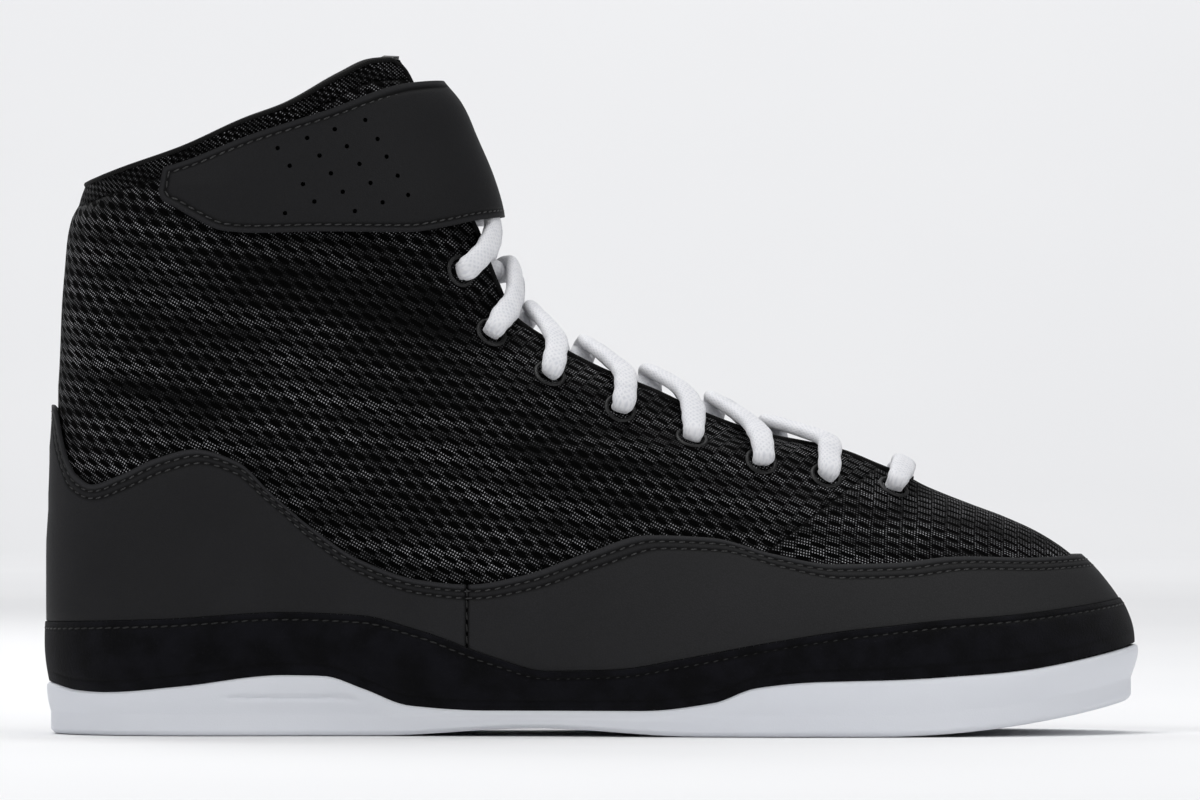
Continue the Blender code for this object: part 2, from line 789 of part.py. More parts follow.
def lace_path(start_side):
    """Stations of one half of the lace, from the toe end's eyelet to the top one, side to side."""
    stations = []
    over = lace_over
    under = -(upper_wall + lace_half_thick + lace_clear)
    profile = ((-0.86, over), (-0.42, 0.45 * over), (0.0, 0.30 * under), (0.36, 0.75 * under), (0.72, under))
    last = len(eyelet_rows) - 1
    side = start_side
    for number in range(last):
        one = eyelet_place(number, side)
        other = eyelet_place(number + 1, -side)
        start = ring_point(*one)
        hole = abs(start.y - centre_line(start.x)) / throat_half_at(start.x)
        facing = [(-0.86 - (hole - 0.86) * share, over) for share in (0.72, 0.36)]
        for reach, out in facing + list(profile) + [(0.72 + 0.6 * (hole - 0.86), under)]:
            if number == 0:
                out = under if reach < -0.5 else min(out, 0.6 * under)
            lift = 0.35 * lace_half_thick * start_side * (1 if number % 2 else -1) if reach == 0.0 else 0.0
            place = crossing_at(one, other, reach)
            stations.append((on_surface(*place, out + lift), surface_normal(*place), 1.0))
        for out in (under, -0.5 * upper_wall, over):
            stations.append((on_surface(*other, out), surface_normal(*other), 0.0))
        side = -side
    return stations


def make_lace():
    """Both halves of the lace and the straight bar at the toe end, joined into one body."""
    halves = []
    over = lace_over
    under = -(upper_wall + lace_half_thick + lace_clear)
    for start_side in (-1, 1):
        angle, height = eyelet_place(0, start_side)
        head = []
        for out in (over, -0.5 * upper_wall, under):
            head.append((on_surface(angle, height, out), surface_normal(angle, height), 0.0))
        halves.append(head + lace_path(start_side))
    bar = []
    one, other = eyelet_place(0, -1), eyelet_place(0, 1)
    for share in (0.0, 0.12, 0.28, 0.50, 0.72, 0.88, 1.0):
        place = crossing_place(one, other, share)
        wide = 0.0 if share in (0.0, 1.0) else 1.0
        bar.append((on_surface(*place, over), surface_normal(*place), wide))
    parts = [lace_tube("lace", halves[0]), lace_tube("lace_other", halves[1]), lace_tube("lace_bar", bar)]
    lace = parts[0]
    lace.data.materials.append(bpy.data.materials["lace_white"])
    boolean(lace, parts[1], "UNION")
    boolean(lace, parts[2], "UNION")
    tidy(lace, 0.00002)
    return lace


def lace_tube(name, stations):
    result = []
    before = None
    for k, (place, normal, wide) in enumerate(stations):
        ahead = stations[min(k + 1, len(stations) - 1)][0]
        behind = stations[max(k - 1, 0)][0]
        tangent = (ahead - behind).normalized()
        across = tangent.cross(normal)
        if wide == 0.0 and before is not None:
            across = before - tangent * before.dot(tangent)
        across.normalize()
        if before is not None and across.dot(before) < 0:
            across = -across
        thin = tangent.cross(across).normalized()
        half_wide = lace_hole_radius + (lace_half_width - lace_hole_radius) * wide
        half_thin = lace_hole_radius + (lace_half_thick - lace_hole_radius) * wide
        result.append((place, across, thin, half_wide, half_thin))
        before = across
    return sweep(name, result, lace_sides, False)


def strap_front(height):
    reach = read(strap_front_columns, strap_front_rows, "reach", height / collar_height)
    return reach * shoe_length - strap_thick - strap_lift


def strap_edge(angle, name):
    def height_at(x):
        return edge_height(strap_columns, strap_rows, x, name)
    return meeting_height(angle, height_at, strap_front)


def make_strap():
    """Ankle strap: sewn end on the inner side, over the front, free end on the outer side."""
    level = 0.81 * collar_height
    back, _, _ = ring_ends(level)
    front = strap_front(level)

    def angle_of(x):
        return math.acos(clamp(2 * (x - back) / (front - back) - 1, -1.0, 1.0))

    tip = angle_of(0.1065 * shoe_length)
    sewn = angle_of(0.200 * shoe_length)
    outer_shares = (1.0, 0.993, 0.98, 0.95, 0.90, 0.84, 0.77, 0.70, 0.62, 0.54, 0.46, 0.38, 0.30, 0.22,
                    0.14, 0.07)
    angles = [-tip * share for share in outer_shares]
    angles += [sewn * k / 13 for k in range(14)]
    rows = (0.0, 0.25, 0.5, 0.75, 1.0)
    grids = []
    for out in (strap_lift + strap_thick, strap_lift):
        grid = []
        for share in rows:
            line = []
            for angle in angles:
                low = strap_edge(angle, "lower")
                high = strap_edge(angle, "upper")
                height = low + (high - low) * share
                line.append(on_surface(angle, height, out, strap_front(height)))
            grid.append(line)
        grids.append(grid)
    return shell("ankle_strap", grids[0], grids[1], False, "strap_charcoal")


def place_everything():
    for thing in bpy.context.collection.objects:
        for vertex in thing.data.vertices:
            vertex.co.z += toe_lift(vertex.co.x)
            vertex.co.x -= heel_spot


def main():
    for thing in list(bpy.data.objects):
        bpy.data.objects.remove(thing, do_unlink=True)
    make_materials()
    make_upper()
    make_overlays()
    make_outsole()
    make_insole()
    make_tongue()
    make_lace()
    make_strap()
    make_binding()
    place_everything()


main()
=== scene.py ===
import math

import bpy
import numpy as np
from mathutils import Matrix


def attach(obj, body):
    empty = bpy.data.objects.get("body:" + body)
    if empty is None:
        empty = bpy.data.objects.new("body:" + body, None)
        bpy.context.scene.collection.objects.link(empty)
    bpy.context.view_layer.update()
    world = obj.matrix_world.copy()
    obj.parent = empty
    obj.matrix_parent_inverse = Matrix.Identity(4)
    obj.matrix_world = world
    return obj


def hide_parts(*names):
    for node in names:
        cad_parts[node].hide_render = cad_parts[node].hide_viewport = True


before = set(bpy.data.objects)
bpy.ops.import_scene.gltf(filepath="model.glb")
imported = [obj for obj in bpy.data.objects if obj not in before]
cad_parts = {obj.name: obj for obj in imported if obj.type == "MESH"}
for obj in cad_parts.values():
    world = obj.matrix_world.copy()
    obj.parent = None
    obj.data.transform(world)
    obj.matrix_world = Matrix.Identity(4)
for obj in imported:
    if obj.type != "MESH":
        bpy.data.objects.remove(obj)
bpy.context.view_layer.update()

bpy.ops.object.select_all(action="DESELECT")
print("stage: frame loaded")

# The last gives the upper its form. Sizes are in metres, and tables hold shares of them.
shoeLength, collarHeight, upperWidth = 0.296, 0.182, 0.100
heelSpot, toeSpring, springStart = 0.0455, 0.010, 0.222
toeSwing, swingStart = 0.008, 0.150
upperWall, fitGap, overlayGap = 0.0020, 0.0003, 0.0008
soleFloor, soleWall, soleBulge, archRise = 0.0055, 0.0024, 0.0010, 0.0020
archBack, archFront = 0.088, 0.176
throatHalf, throatToe = 0.0135, 0.233

formNames = ("height", "back", "front", "frontRound", "backRound")
formRows = (
    (0.032, 0.012, 0.976, 0.240, 0.125), (0.077, 0.005, 0.985, 0.245, 0.125),
    (0.132, 0.002, 0.977, 0.250, 0.125), (0.187, 0.001, 0.958, 0.250, 0.125),
    (0.236, 0.001, 0.933, 0.245, 0.128), (0.275, 0.001, 0.905, 0.240, 0.130),
    (0.308, 0.002, 0.872, 0.238, 0.130), (0.335, 0.003, 0.838, 0.238, 0.132),
    (0.360, 0.003, 0.806, 0.258, 0.135), (0.393, 0.004, 0.770, 0.290, 0.138),
    (0.420, 0.004, 0.733, 0.315, 0.140), (0.442, 0.005, 0.670, 0.320, 0.142),
    (0.473, 0.006, 0.618, 0.315, 0.145), (0.509, 0.006, 0.571, 0.290, 0.148),
    (0.540, 0.007, 0.522, 0.270, 0.150), (0.578, 0.008, 0.475, 0.235, 0.152),
    (0.623, 0.009, 0.434, 0.195, 0.155), (0.668, 0.011, 0.420, 0.180, 0.158),
    (0.758, 0.020, 0.398, 0.175, 0.160), (0.797, 0.028, 0.385, 0.174, 0.160),
    (0.879, 0.045, 0.366, 0.172, 0.160), (1.000, 0.068, 0.331, 0.170, 0.160),
)
girthHeights = (0.032, 0.140, 0.410, 0.800)
girthNames = ("along", "outerBase", "outerLow", "innerBase", "innerLow", "high", "shaft")
girthRows = (
    (0.000, 0.300, 0.330, 0.290, 0.320, 0.310, 0.340), (0.170, 0.295, 0.330, 0.285, 0.325, 0.320, 0.350),
    (0.304, 0.275, 0.335, 0.255, 0.325, 0.340, 0.360), (0.439, 0.310, 0.370, 0.262, 0.340, 0.350, 0.365),
    (0.574, 0.390, 0.430, 0.350, 0.390, 0.340, 0.365), (0.693, 0.435, 0.465, 0.440, 0.465, 0.335, 0.365),
    (0.828, 0.440, 0.460, 0.450, 0.470, 0.345, 0.365), (1.000, 0.440, 0.460, 0.450, 0.470, 0.345, 0.365),
)
toplineRows = (
    (0.030, 0.813), (0.064, 0.833), (0.123, 0.865), (0.180, 0.906),
    (0.216, 0.927), (0.267, 0.973), (0.297, 0.995), (0.331, 1.000),
)
foxingRows = (
    (0.005, 0.490), (0.009, 0.480), (0.016, 0.430), (0.021, 0.404), (0.029, 0.382), (0.043, 0.369),
    (0.067, 0.382), (0.100, 0.408), (0.135, 0.422), (0.173, 0.404), (0.205, 0.356), (0.243, 0.304),
    (0.284, 0.260), (0.338, 0.230), (0.384, 0.223), (0.432, 0.236), (0.489, 0.268), (0.545, 0.294),
    (0.601, 0.290), (0.657, 0.266), (0.713, 0.250), (0.770, 0.251), (0.811, 0.255), (0.900, 0.236),
    (0.960, 0.222),
)
randRows = (
    (0.007, 0.166), (0.108, 0.171), (0.216, 0.181), (0.284, 0.177), (0.338, 0.155), (0.405, 0.118),
    (0.455, 0.098), (0.517, 0.100), (0.574, 0.114), (0.657, 0.138), (0.741, 0.157), (0.811, 0.164),
    (0.900, 0.158), (0.970, 0.150),
)
soleEdgeRows = (
    (0.007, 0.076), (0.032, 0.066), (0.054, 0.064), (0.121, 0.073), (0.216, 0.090), (0.251, 0.089),
    (0.286, 0.071), (0.330, 0.045), (0.400, 0.038), (0.540, 0.038), (0.605, 0.050), (0.643, 0.072),
    (0.699, 0.081), (0.811, 0.084), (0.900, 0.080), (0.985, 0.080),
)
strapRows = (
    (0.105, 0.800, 0.822), (0.108, 0.788, 0.834), (0.119, 0.778, 0.840), (0.135, 0.763, 0.849),
    (0.162, 0.744, 0.868), (0.189, 0.741, 0.886), (0.250, 0.743, 0.919), (0.324, 0.742, 0.961),
    (0.359, 0.751, 0.966), (0.383, 0.760, 0.966), (0.415, 0.768, 0.966),
)
strapFrontRows = (
    (0.735, 0.417), (0.768, 0.415), (0.827, 0.403), (0.888, 0.387), (0.934, 0.375), (0.966, 0.360),
)
eyeletRows = (
    (0.769, 0.365), (0.707, 0.382), (0.648, 0.404), (0.585, 0.438), (0.520, 0.482),
    (0.456, 0.533), (0.403, 0.594), (0.375, 0.685), (0.357, 0.782),
)


def meanSlope(before, after):
    total = np.where(np.abs(before + after) < 1e-12, 1.0, before + after)
    return np.where(before * after <= 0, 0.0, 2 * before * after / total)


def between(t, step, low, high, lowSlope, highSlope):
    return ((1 + 2 * t) * (1 - t) ** 2 * low + t * (1 - t) ** 2 * step * lowSlope
            + t * t * (3 - 2 * t) * high + t * t * (t - 1) * step * highSlope)


# A smooth curve through the rows that never swings past them.
def curveThrough(rows, column=1):
    table = np.array(rows, dtype=float)
    stations, values = table[:, 0], table[:, column]
    step = np.diff(stations)
    slope = np.diff(values) / step
    tangent = np.concatenate([slope[:1], meanSlope(slope[:-1], slope[1:]), slope[-1:]])

    def at(x):
        x = np.clip(np.asarray(x, dtype=float), stations[0], stations[-1])
        i = np.clip(np.searchsorted(stations, x, side="right") - 1, 0, len(step) - 1)
        t = (x - stations[i]) / step[i]
        return between(t, step[i], values[i], values[i + 1], tangent[i], tangent[i + 1])
    return at


formCurves = {name: curveThrough(formRows, k) for k, name in enumerate(formNames)}
girthCurves = {name: curveThrough(girthRows, k) for k, name in enumerate(girthNames)}
strapReach = curveThrough(strapFrontRows)


def heightOf(rows, column=1):
    edge = curveThrough(rows, column)
    return lambda x: collarHeight * edge(np.asarray(x) / shoeLength)


toplineAt, foxingAt = heightOf(toplineRows), heightOf(foxingRows)
randAt, soleEdgeAt = heightOf(randRows), heightOf(soleEdgeRows)
strapLowAt, strapHighAt = heightOf(strapRows), heightOf(strapRows, 2)
strapThick, strapLift = 0.0022, 0.0005


def strapFrontAt(height):
    return strapReach(np.asarray(height) / collarHeight) * shoeLength - strapThick - strapLift


def smoothStep(low, high, x):
    t = np.clip((np.asarray(x, dtype=float) - low) / (high - low), 0, 1)
    return t * t * (3 - 2 * t)


def bump(x, middle, width):
    return np.exp(-((np.asarray(x) - middle) / width) ** 2)


def centreLine(x):
    return toeSwing * np.clip((np.asarray(x) - swingStart) / (shoeLength - swingStart), 0, 1) ** 2


def toeLift(x):
    return toeSpring * np.clip((np.asarray(x) - springStart) / (shoeLength - springStart), 0, 1.2) ** 2


def archHeight(x):
    share = np.clip((np.asarray(x) - archBack) / (archFront - archBack), 0, 1)
    return archRise * np.sin(np.pi * share) ** 2


def rounding(distance, radius):
    return np.sqrt(np.clip(1 - (1 - np.clip(distance / radius, 0, 1)) ** 2, 0, 1))


# Half width of the last at a place along it and a share of its height, on the inner or outer side.
def halfWidth(x, share, inner):
    along = x / shoeLength
    base = np.where(inner, girthCurves["innerBase"](along), girthCurves["outerBase"](along))
    low = np.where(inner, girthCurves["innerLow"](along), girthCurves["outerLow"](along))
    values = [base, low, girthCurves["high"](along), girthCurves["shaft"](along)]
    steps = np.diff(girthHeights)
    slopes = [(values[k + 1] - values[k]) / steps[k] for k in range(3)]
    tangents = [slopes[0], meanSlope(slopes[0], slopes[1]), meanSlope(slopes[1], slopes[2]), slopes[2]]
    share = np.clip(share, girthHeights[0], girthHeights[-1])
    wide = np.zeros(np.broadcast(x, share).shape)
    for k, step in enumerate(steps):
        inside = (share >= girthHeights[k]) & (share <= girthHeights[k + 1])
        t = (share - girthHeights[k]) / step
        part = between(t, step, values[k], values[k + 1], tangents[k], tangents[k + 1])
        wide = np.where(inside, part, wide)
    return upperWidth * wide


def ringEnds(height, front=None):
    share = np.clip(np.asarray(height, dtype=float) / collarHeight, formRows[0][0], 1.0)
    back = shoeLength * formCurves["back"](share)
    if front is None:
        front = shoeLength * formCurves["front"](share)
    return back, front, share


# A point of the last's surface. Angle 0 is its front, plus on the inner side and minus on the outer.
def lastPoint(angle, height, front=None):
    angle = (np.asarray(angle, dtype=float) + np.pi) % (2 * np.pi) - np.pi
    height = np.asarray(height, dtype=float)
    back, front, share = ringEnds(height, front)
    x = back + (front - back) * (1 + np.cos(angle)) / 2
    ends = (rounding(front - x, shoeLength * formCurves["frontRound"](share))
            * rounding(x - back, shoeLength * formCurves["backRound"](share)))
    wide = halfWidth(x, share, angle >= 0) * ends
    y = centreLine(x) + np.where(angle < 0, -wide, wide)
    return np.stack(np.broadcast_arrays(x, y, height), axis=-1)


def unit(vectors):
    return vectors / np.maximum(np.linalg.norm(vectors, axis=-1, keepdims=True), 1e-12)


def lastNormal(angle, height, front=None):
    turn, rise = 0.01, 0.0004
    around = lastPoint(angle + turn, height, front) - lastPoint(angle - turn, height, front)
    upward = lastPoint(angle, height + rise, front) - lastPoint(angle, height - rise, front)
    return unit(np.cross(around, upward))


def onLast(angle, height, out=0.0, front=None):
    return lastPoint(angle, height, front) + lastNormal(angle, height, front) * np.asarray(out)[..., None]


# A point of the sole's wall, moved out level from the last.
def solePoint(angle, height, out):
    level = np.maximum(height, formRows[0][0] * collarHeight)
    place, normal = lastPoint(angle, level), lastNormal(angle, level)
    normal[..., 2] = 0
    place = place + unit(normal) * np.asarray(out)[..., None]
    place[..., 2] = height
    return place


# The value between low and high where tooHigh turns true, by halving.
def halve(low, high, count, tooHigh):
    for _ in range(count):
        middle = (low + high) / 2
        over = tooHigh(middle)
        low, high = np.where(over, low, middle), np.where(over, middle, high)
    return (low + high) / 2


def meetPlace(angleAt, heightAt, shape, frontAt=None):
    def above(height):
        front = frontAt(height) if frontAt else None
        return heightAt(lastPoint(angleAt(height), height, front)[..., 0]) < height

    return halve(np.zeros(shape), np.full(shape, collarHeight * 1.02), 30, above)


def meetHeight(angle, heightAt, frontAt=None):
    return meetPlace(lambda height: angle, heightAt, np.shape(angle), frontAt)


# Angle from the ridge at which the last lies a given distance beside its middle line.
def reachAngle(height, distance):
    def beyond(angle):
        point = lastPoint(angle, height)
        return np.abs(point[..., 1] - centreLine(point[..., 0])) >= distance

    return halve(np.zeros(np.shape(height)), np.full(np.shape(height), 1.5), 30, beyond)


def sideAngle(x, height, side, frontAt=None):
    back, front, _ = ringEnds(height, frontAt(height) if frontAt else None)
    return side * np.arccos(np.clip(2 * (x - back) / (front - back) - 1, -1, 1))


def throatHalfAt(x):
    return throatHalf * (0.66 + 0.34 * np.clip((throatToe - x) / (0.25 * shoeLength), 0, 1))


# Lifts the toe and moves points of the last into the shared frame.
def settle(points):
    points = np.array(points, dtype=float)
    points[..., 2] += toeLift(points[..., 0])
    points[..., 0] -= heelSpot
    return points


# Length along a row of points up to each of them.
def runLength(points, axis):
    steps = np.linalg.norm(np.diff(points, axis=axis), axis=-1)
    zero = np.zeros_like(np.take(steps, [0], axis=axis))
    return np.concatenate([zero, np.cumsum(steps, axis=axis)], axis=axis)


def editAll(piece, *steps):
    bpy.context.view_layer.objects.active = piece
    bpy.ops.object.mode_set(mode="EDIT")
    bpy.ops.mesh.select_all(action="SELECT")
    for step in steps:
        step()
    bpy.ops.object.mode_set(mode="OBJECT")


def weld(piece, threshold):
    editAll(piece, lambda: bpy.ops.mesh.remove_doubles(threshold=threshold))


def facesOut(piece):
    editAll(piece, lambda: bpy.ops.mesh.normals_make_consistent(inside=False))


def joinPieces(name, pieces, threshold):
    for piece in pieces:
        piece.select_set(True)
    whole = pieces[0]
    bpy.context.view_layer.objects.active = whole
    bpy.ops.object.join()
    whole.name = whole.data.name = name
    weld(whole, threshold)
    facesOut(whole)
    return whole


def verticesOf(piece):
    places = np.zeros(len(piece.data.vertices) * 3)
    piece.data.vertices.foreach_get("co", places)
    return places.reshape(-1, 3)


# Fills the active primitive with copies of itself, one for each centre and its three axes.
def fillWithCopies(name, shape, frames, *materials):
    piece = bpy.context.active_object
    piece.name = piece.data.name = name
    faceList = [tuple(polygon.vertices) for polygon in piece.data.polygons]
    places, faces = [], []
    for centre, along, side, normal in frames:
        faces += [tuple(len(places) * len(shape) + corner for corner in face) for face in faceList]
        places.append(centre + shape[:, :1] * along + shape[:, 1:2] * side + shape[:, 2:] * normal)
    piece.data.clear_geometry()
    piece.data.from_pydata(settle(np.concatenate(places)).tolist(), [], faces)
    piece.data.update()
    for material in materials:
        piece.data.materials.append(material)
    facesOut(piece)
    return piece


weldGap = 0.00004


def gridPiece(name, points, uv, material, wrap=False, **maps):
    rows, columns = points.shape[:2]
    bpy.ops.mesh.primitive_grid_add(x_subdivisions=columns - 1, y_subdivisions=rows - 1, size=1.0)
    piece = bpy.context.active_object
    piece.name = piece.data.name = name
    mesh = piece.data
    mesh.vertices.foreach_set("co", settle(points).reshape(-1).astype(np.float32))
    corners = np.zeros(len(mesh.loops), dtype=np.int32)
    mesh.loops.foreach_get("vertex_index", corners)
    mesh.uv_layers.active.name = "UVMap"
    for layerName, values in [("UVMap", uv)] + list(maps.items()):
        layer = mesh.uv_layers.get(layerName) or mesh.uv_layers.new(name=layerName)
        layer.data.foreach_set("uv", values.reshape(-1, 2)[corners].reshape(-1).astype(np.float32))
    mesh.update()
    mesh.materials.append(material)
    if wrap:
        weld(piece, weldGap)
    return piece


def selectOnly(piece):
    bpy.ops.object.select_all(action="DESELECT")
    piece.select_set(True)
    bpy.context.view_layer.objects.active = piece


def applied(piece, kind, **settings):
    modifier = piece.modifiers.new(kind.title(), kind)
    for key, value in settings.items():
        setattr(modifier, key, value)
    selectOnly(piece)
    bpy.ops.object.modifier_apply(modifier=modifier.name)


def smooth(piece):
    selectOnly(piece)
    bpy.ops.object.shade_smooth_by_angle(angle=0.7)
    piece.select_set(False)


def thicken(piece, thickness, edge, edgeSteps=2):
    facesOut(piece)
    applied(piece, "SOLIDIFY", thickness=thickness, offset=0.0, use_even_offset=False)
    applied(piece, "BEVEL", width=edge, segments=edgeSteps, limit_method="ANGLE", angle_limit=0.9)


def finishPiece(piece, slotName, *nodes):
    smooth(piece)
    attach(piece, "root")
    if nodes:
        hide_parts(*nodes)


def gridUv(points):
    across = runLength(points, 1)
    middle = points.shape[1] // 2
    return np.stack([across - across[:, middle:middle + 1], runLength(points, 0)], axis=-1)


# A tube with a rounded flat section, along places with a wide and a thin direction at each.
def tubePiece(name, track, sides, material, power):
    places, wides, thins, halfWides, halfThins = track
    turns = 2 * np.pi * np.arange(sides) / sides
    cosine, sine = np.cos(turns), np.sin(turns)
    shapeX = np.sign(cosine) * np.abs(cosine) ** (2 / power)
    shapeY = np.sign(sine) * np.abs(sine) ** (2 / power)
    rings = (places[:, None] + wides[:, None] * (halfWides[:, None] * shapeX)[..., None]
             + thins[:, None] * (halfThins[:, None] * shapeY)[..., None])
    lengths = runLength(places, 0)
    faces, uvs = [], []
    for r in range(len(places) - 1):
        low, high = r * sides, (r + 1) * sides
        for k in range(sides):
            after = (k + 1) % sides
            faces.append((low + k, low + after, high + after, high + k))
            uvs += [(k / sides, lengths[r]), ((k + 1) / sides, lengths[r]),
                    ((k + 1) / sides, lengths[r + 1]), (k / sides, lengths[r + 1])]
    for base in (0, (len(places) - 1) * sides):
        faces.append(tuple(base + k for k in range(sides)))
        uvs += [(0.0, 0.0)] * sides
    bpy.ops.mesh.primitive_circle_add(vertices=sides, radius=0.001, fill_type="NGON")
    piece = bpy.context.active_object
    piece.name = piece.data.name = name
    mesh = piece.data
    mesh.clear_geometry()
    mesh.from_pydata(settle(rings.reshape(-1, 3)).tolist(), [], faces)
    while mesh.uv_layers:
        mesh.uv_layers.remove(mesh.uv_layers[0])
    layer = mesh.uv_layers.new(name="UVMap")
    layer.data.foreach_set("uv", np.array(uvs, dtype=np.float32).reshape(-1))
    mesh.update()
    mesh.materials.append(material)
    facesOut(piece)
    return piece


class Wire:
    def __init__(self, sheet, socket):
        self.sheet, self.socket = sheet, socket

    def combine(self, operation, other, flip=False):
        first, second = (other, self) if flip else (self, other)
        return self.sheet.maths(operation, first, second)

    def __add__(self, other):
        return self.combine("ADD", other)

    def __radd__(self, other):
        return self.combine("ADD", other, True)

    def __sub__(self, other):
        return self.combine("SUBTRACT", other)

    def __rsub__(self, other):
        return self.combine("SUBTRACT", other, True)

    def __mul__(self, other):
        return self.combine("MULTIPLY", other)

    def __rmul__(self, other):
        return self.combine("MULTIPLY", other, True)

    def __truediv__(self, other):
        return self.combine("DIVIDE", other)

    def __pow__(self, other):
        return self.combine("POWER", other)

    def __neg__(self):
        return self.combine("MULTIPLY", -1.0)


class Sheet:
    def __init__(self, name, roughness=0.7, **constants):
        self.material = bpy.data.materials.new(name)
        self.material.use_nodes = True
        self.tree = self.material.node_tree
        self.shader = self.tree.nodes["Principled BSDF"]
        self.shader.inputs["Roughness"].default_value = roughness
        for key, value in constants.items():
            self.shader.inputs[key.replace("_", " ")].default_value = value

    def node(self, kind, settings=None, inputs=None, output=0):
        made = self.tree.nodes.new(kind)
        for key, value in (settings or {}).items():
            setattr(made, key, value)
        for key, value in (inputs or {}).items():
            self.feed(made.inputs[key], value)
        return Wire(self, made.outputs[output])

    def feed(self, socket, value):
        if isinstance(value, Wire):
            self.tree.links.new(value.socket, socket)
        else:
            socket.default_value = value

    def maths(self, operation, first, second=0.0):
        return self.node("ShaderNodeMath", {"operation": operation}, {0: first, 1: second})

    def split(self, place):
        made = self.tree.nodes.new("ShaderNodeSeparateXYZ")
        self.feed(made.inputs[0], place)
        return [Wire(self, socket) for socket in made.outputs]

    def uv(self):
        place = self.node("ShaderNodeTexCoord", output=2)
        u, v, _ = self.split(place)
        return place, u, v

    def map(self, name):
        return self.split(self.node("ShaderNodeUVMap", {"uv_map": name}))[:2]

    def place(self):
        return self.node("ShaderNodeTexCoord", output=3)

    def shifted(self, place, amount):
        step = (amount, amount, amount)
        return self.node("ShaderNodeVectorMath", {"operation": "ADD"}, {0: place, 1: step})

    def vector(self, x, y):
        return self.node("ShaderNodeCombineXYZ", inputs={0: x, 1: y})

    def noise(self, place, scale, detail=2.0, roughness=0.5):
        inputs = {"Vector": place, "Scale": scale, "Detail": detail, "Roughness": roughness}
        return self.node("ShaderNodeTexNoise", inputs=inputs)

    def cracks(self, place, scale):
        return self.node("ShaderNodeTexVoronoi", {"feature": "DISTANCE_TO_EDGE"},
                         {"Vector": place, "Scale": scale})

    def wave(self, value, pitch):
        return self.maths("SINE", value * (2 * math.pi / pitch))

    def spread(self, value, fromLow, fromHigh, toLow=0.0, toHigh=1.0):
        return self.node("ShaderNodeMapRange", {"interpolation_type": "SMOOTHSTEP"},
                         {0: value, 1: fromLow, 2: fromHigh, 3: toLow, 4: toHigh})

    def dip(self, distance, middle, width):
        away = (distance - middle) / width
        return self.maths("POWER", math.e, -(away * away))

    def mix(self, share, low, high):
        made = self.tree.nodes.new("ShaderNodeMix")
        made.data_type = "RGBA"
        self.feed(made.inputs[0], share)
        self.feed(made.inputs[6], low)
        self.feed(made.inputs[7], high)
        return Wire(self, made.outputs[2])

    def relief(self, height, distance, strength=1.0, under=None):
        inputs = {"Height": height, "Distance": distance, "Strength": strength}
        if under is not None:
            inputs["Normal"] = under
        return self.node("ShaderNodeBump", {}, inputs)

    def finish(self, colour=None, roughness=None, normal=None):
        for name, value in (("Base Color", colour), ("Roughness", roughness), ("Normal", normal)):
            if value is not None:
                self.feed(self.shader.inputs[name], value)
        return self.material


def grey(level, cool=0.0):
    return (level, level, level * (1 + cool), 1.0)


knitLook = {"column": 0.00403, "row": 0.00338, "holeLong": 0.0041, "holeHigh": 0.00070, "rib": 0.00076,
            "lean": math.radians(28), "holeShade": 0.0002, "thread": 0.0016, "shine": 0.42, "depth": 0.00075,
            "stripBelow": 0.0056, "stripFiner": 0.9, "wander": 0.0009, "band": 0.0093, "bandLean": 0.17,
            "seam": 0.00045, "stripSeam": 0.0005, "rollAt": 0.0014, "roll": 0.0009,
            "fuzz": 1700.0, "fleck": 240.0}


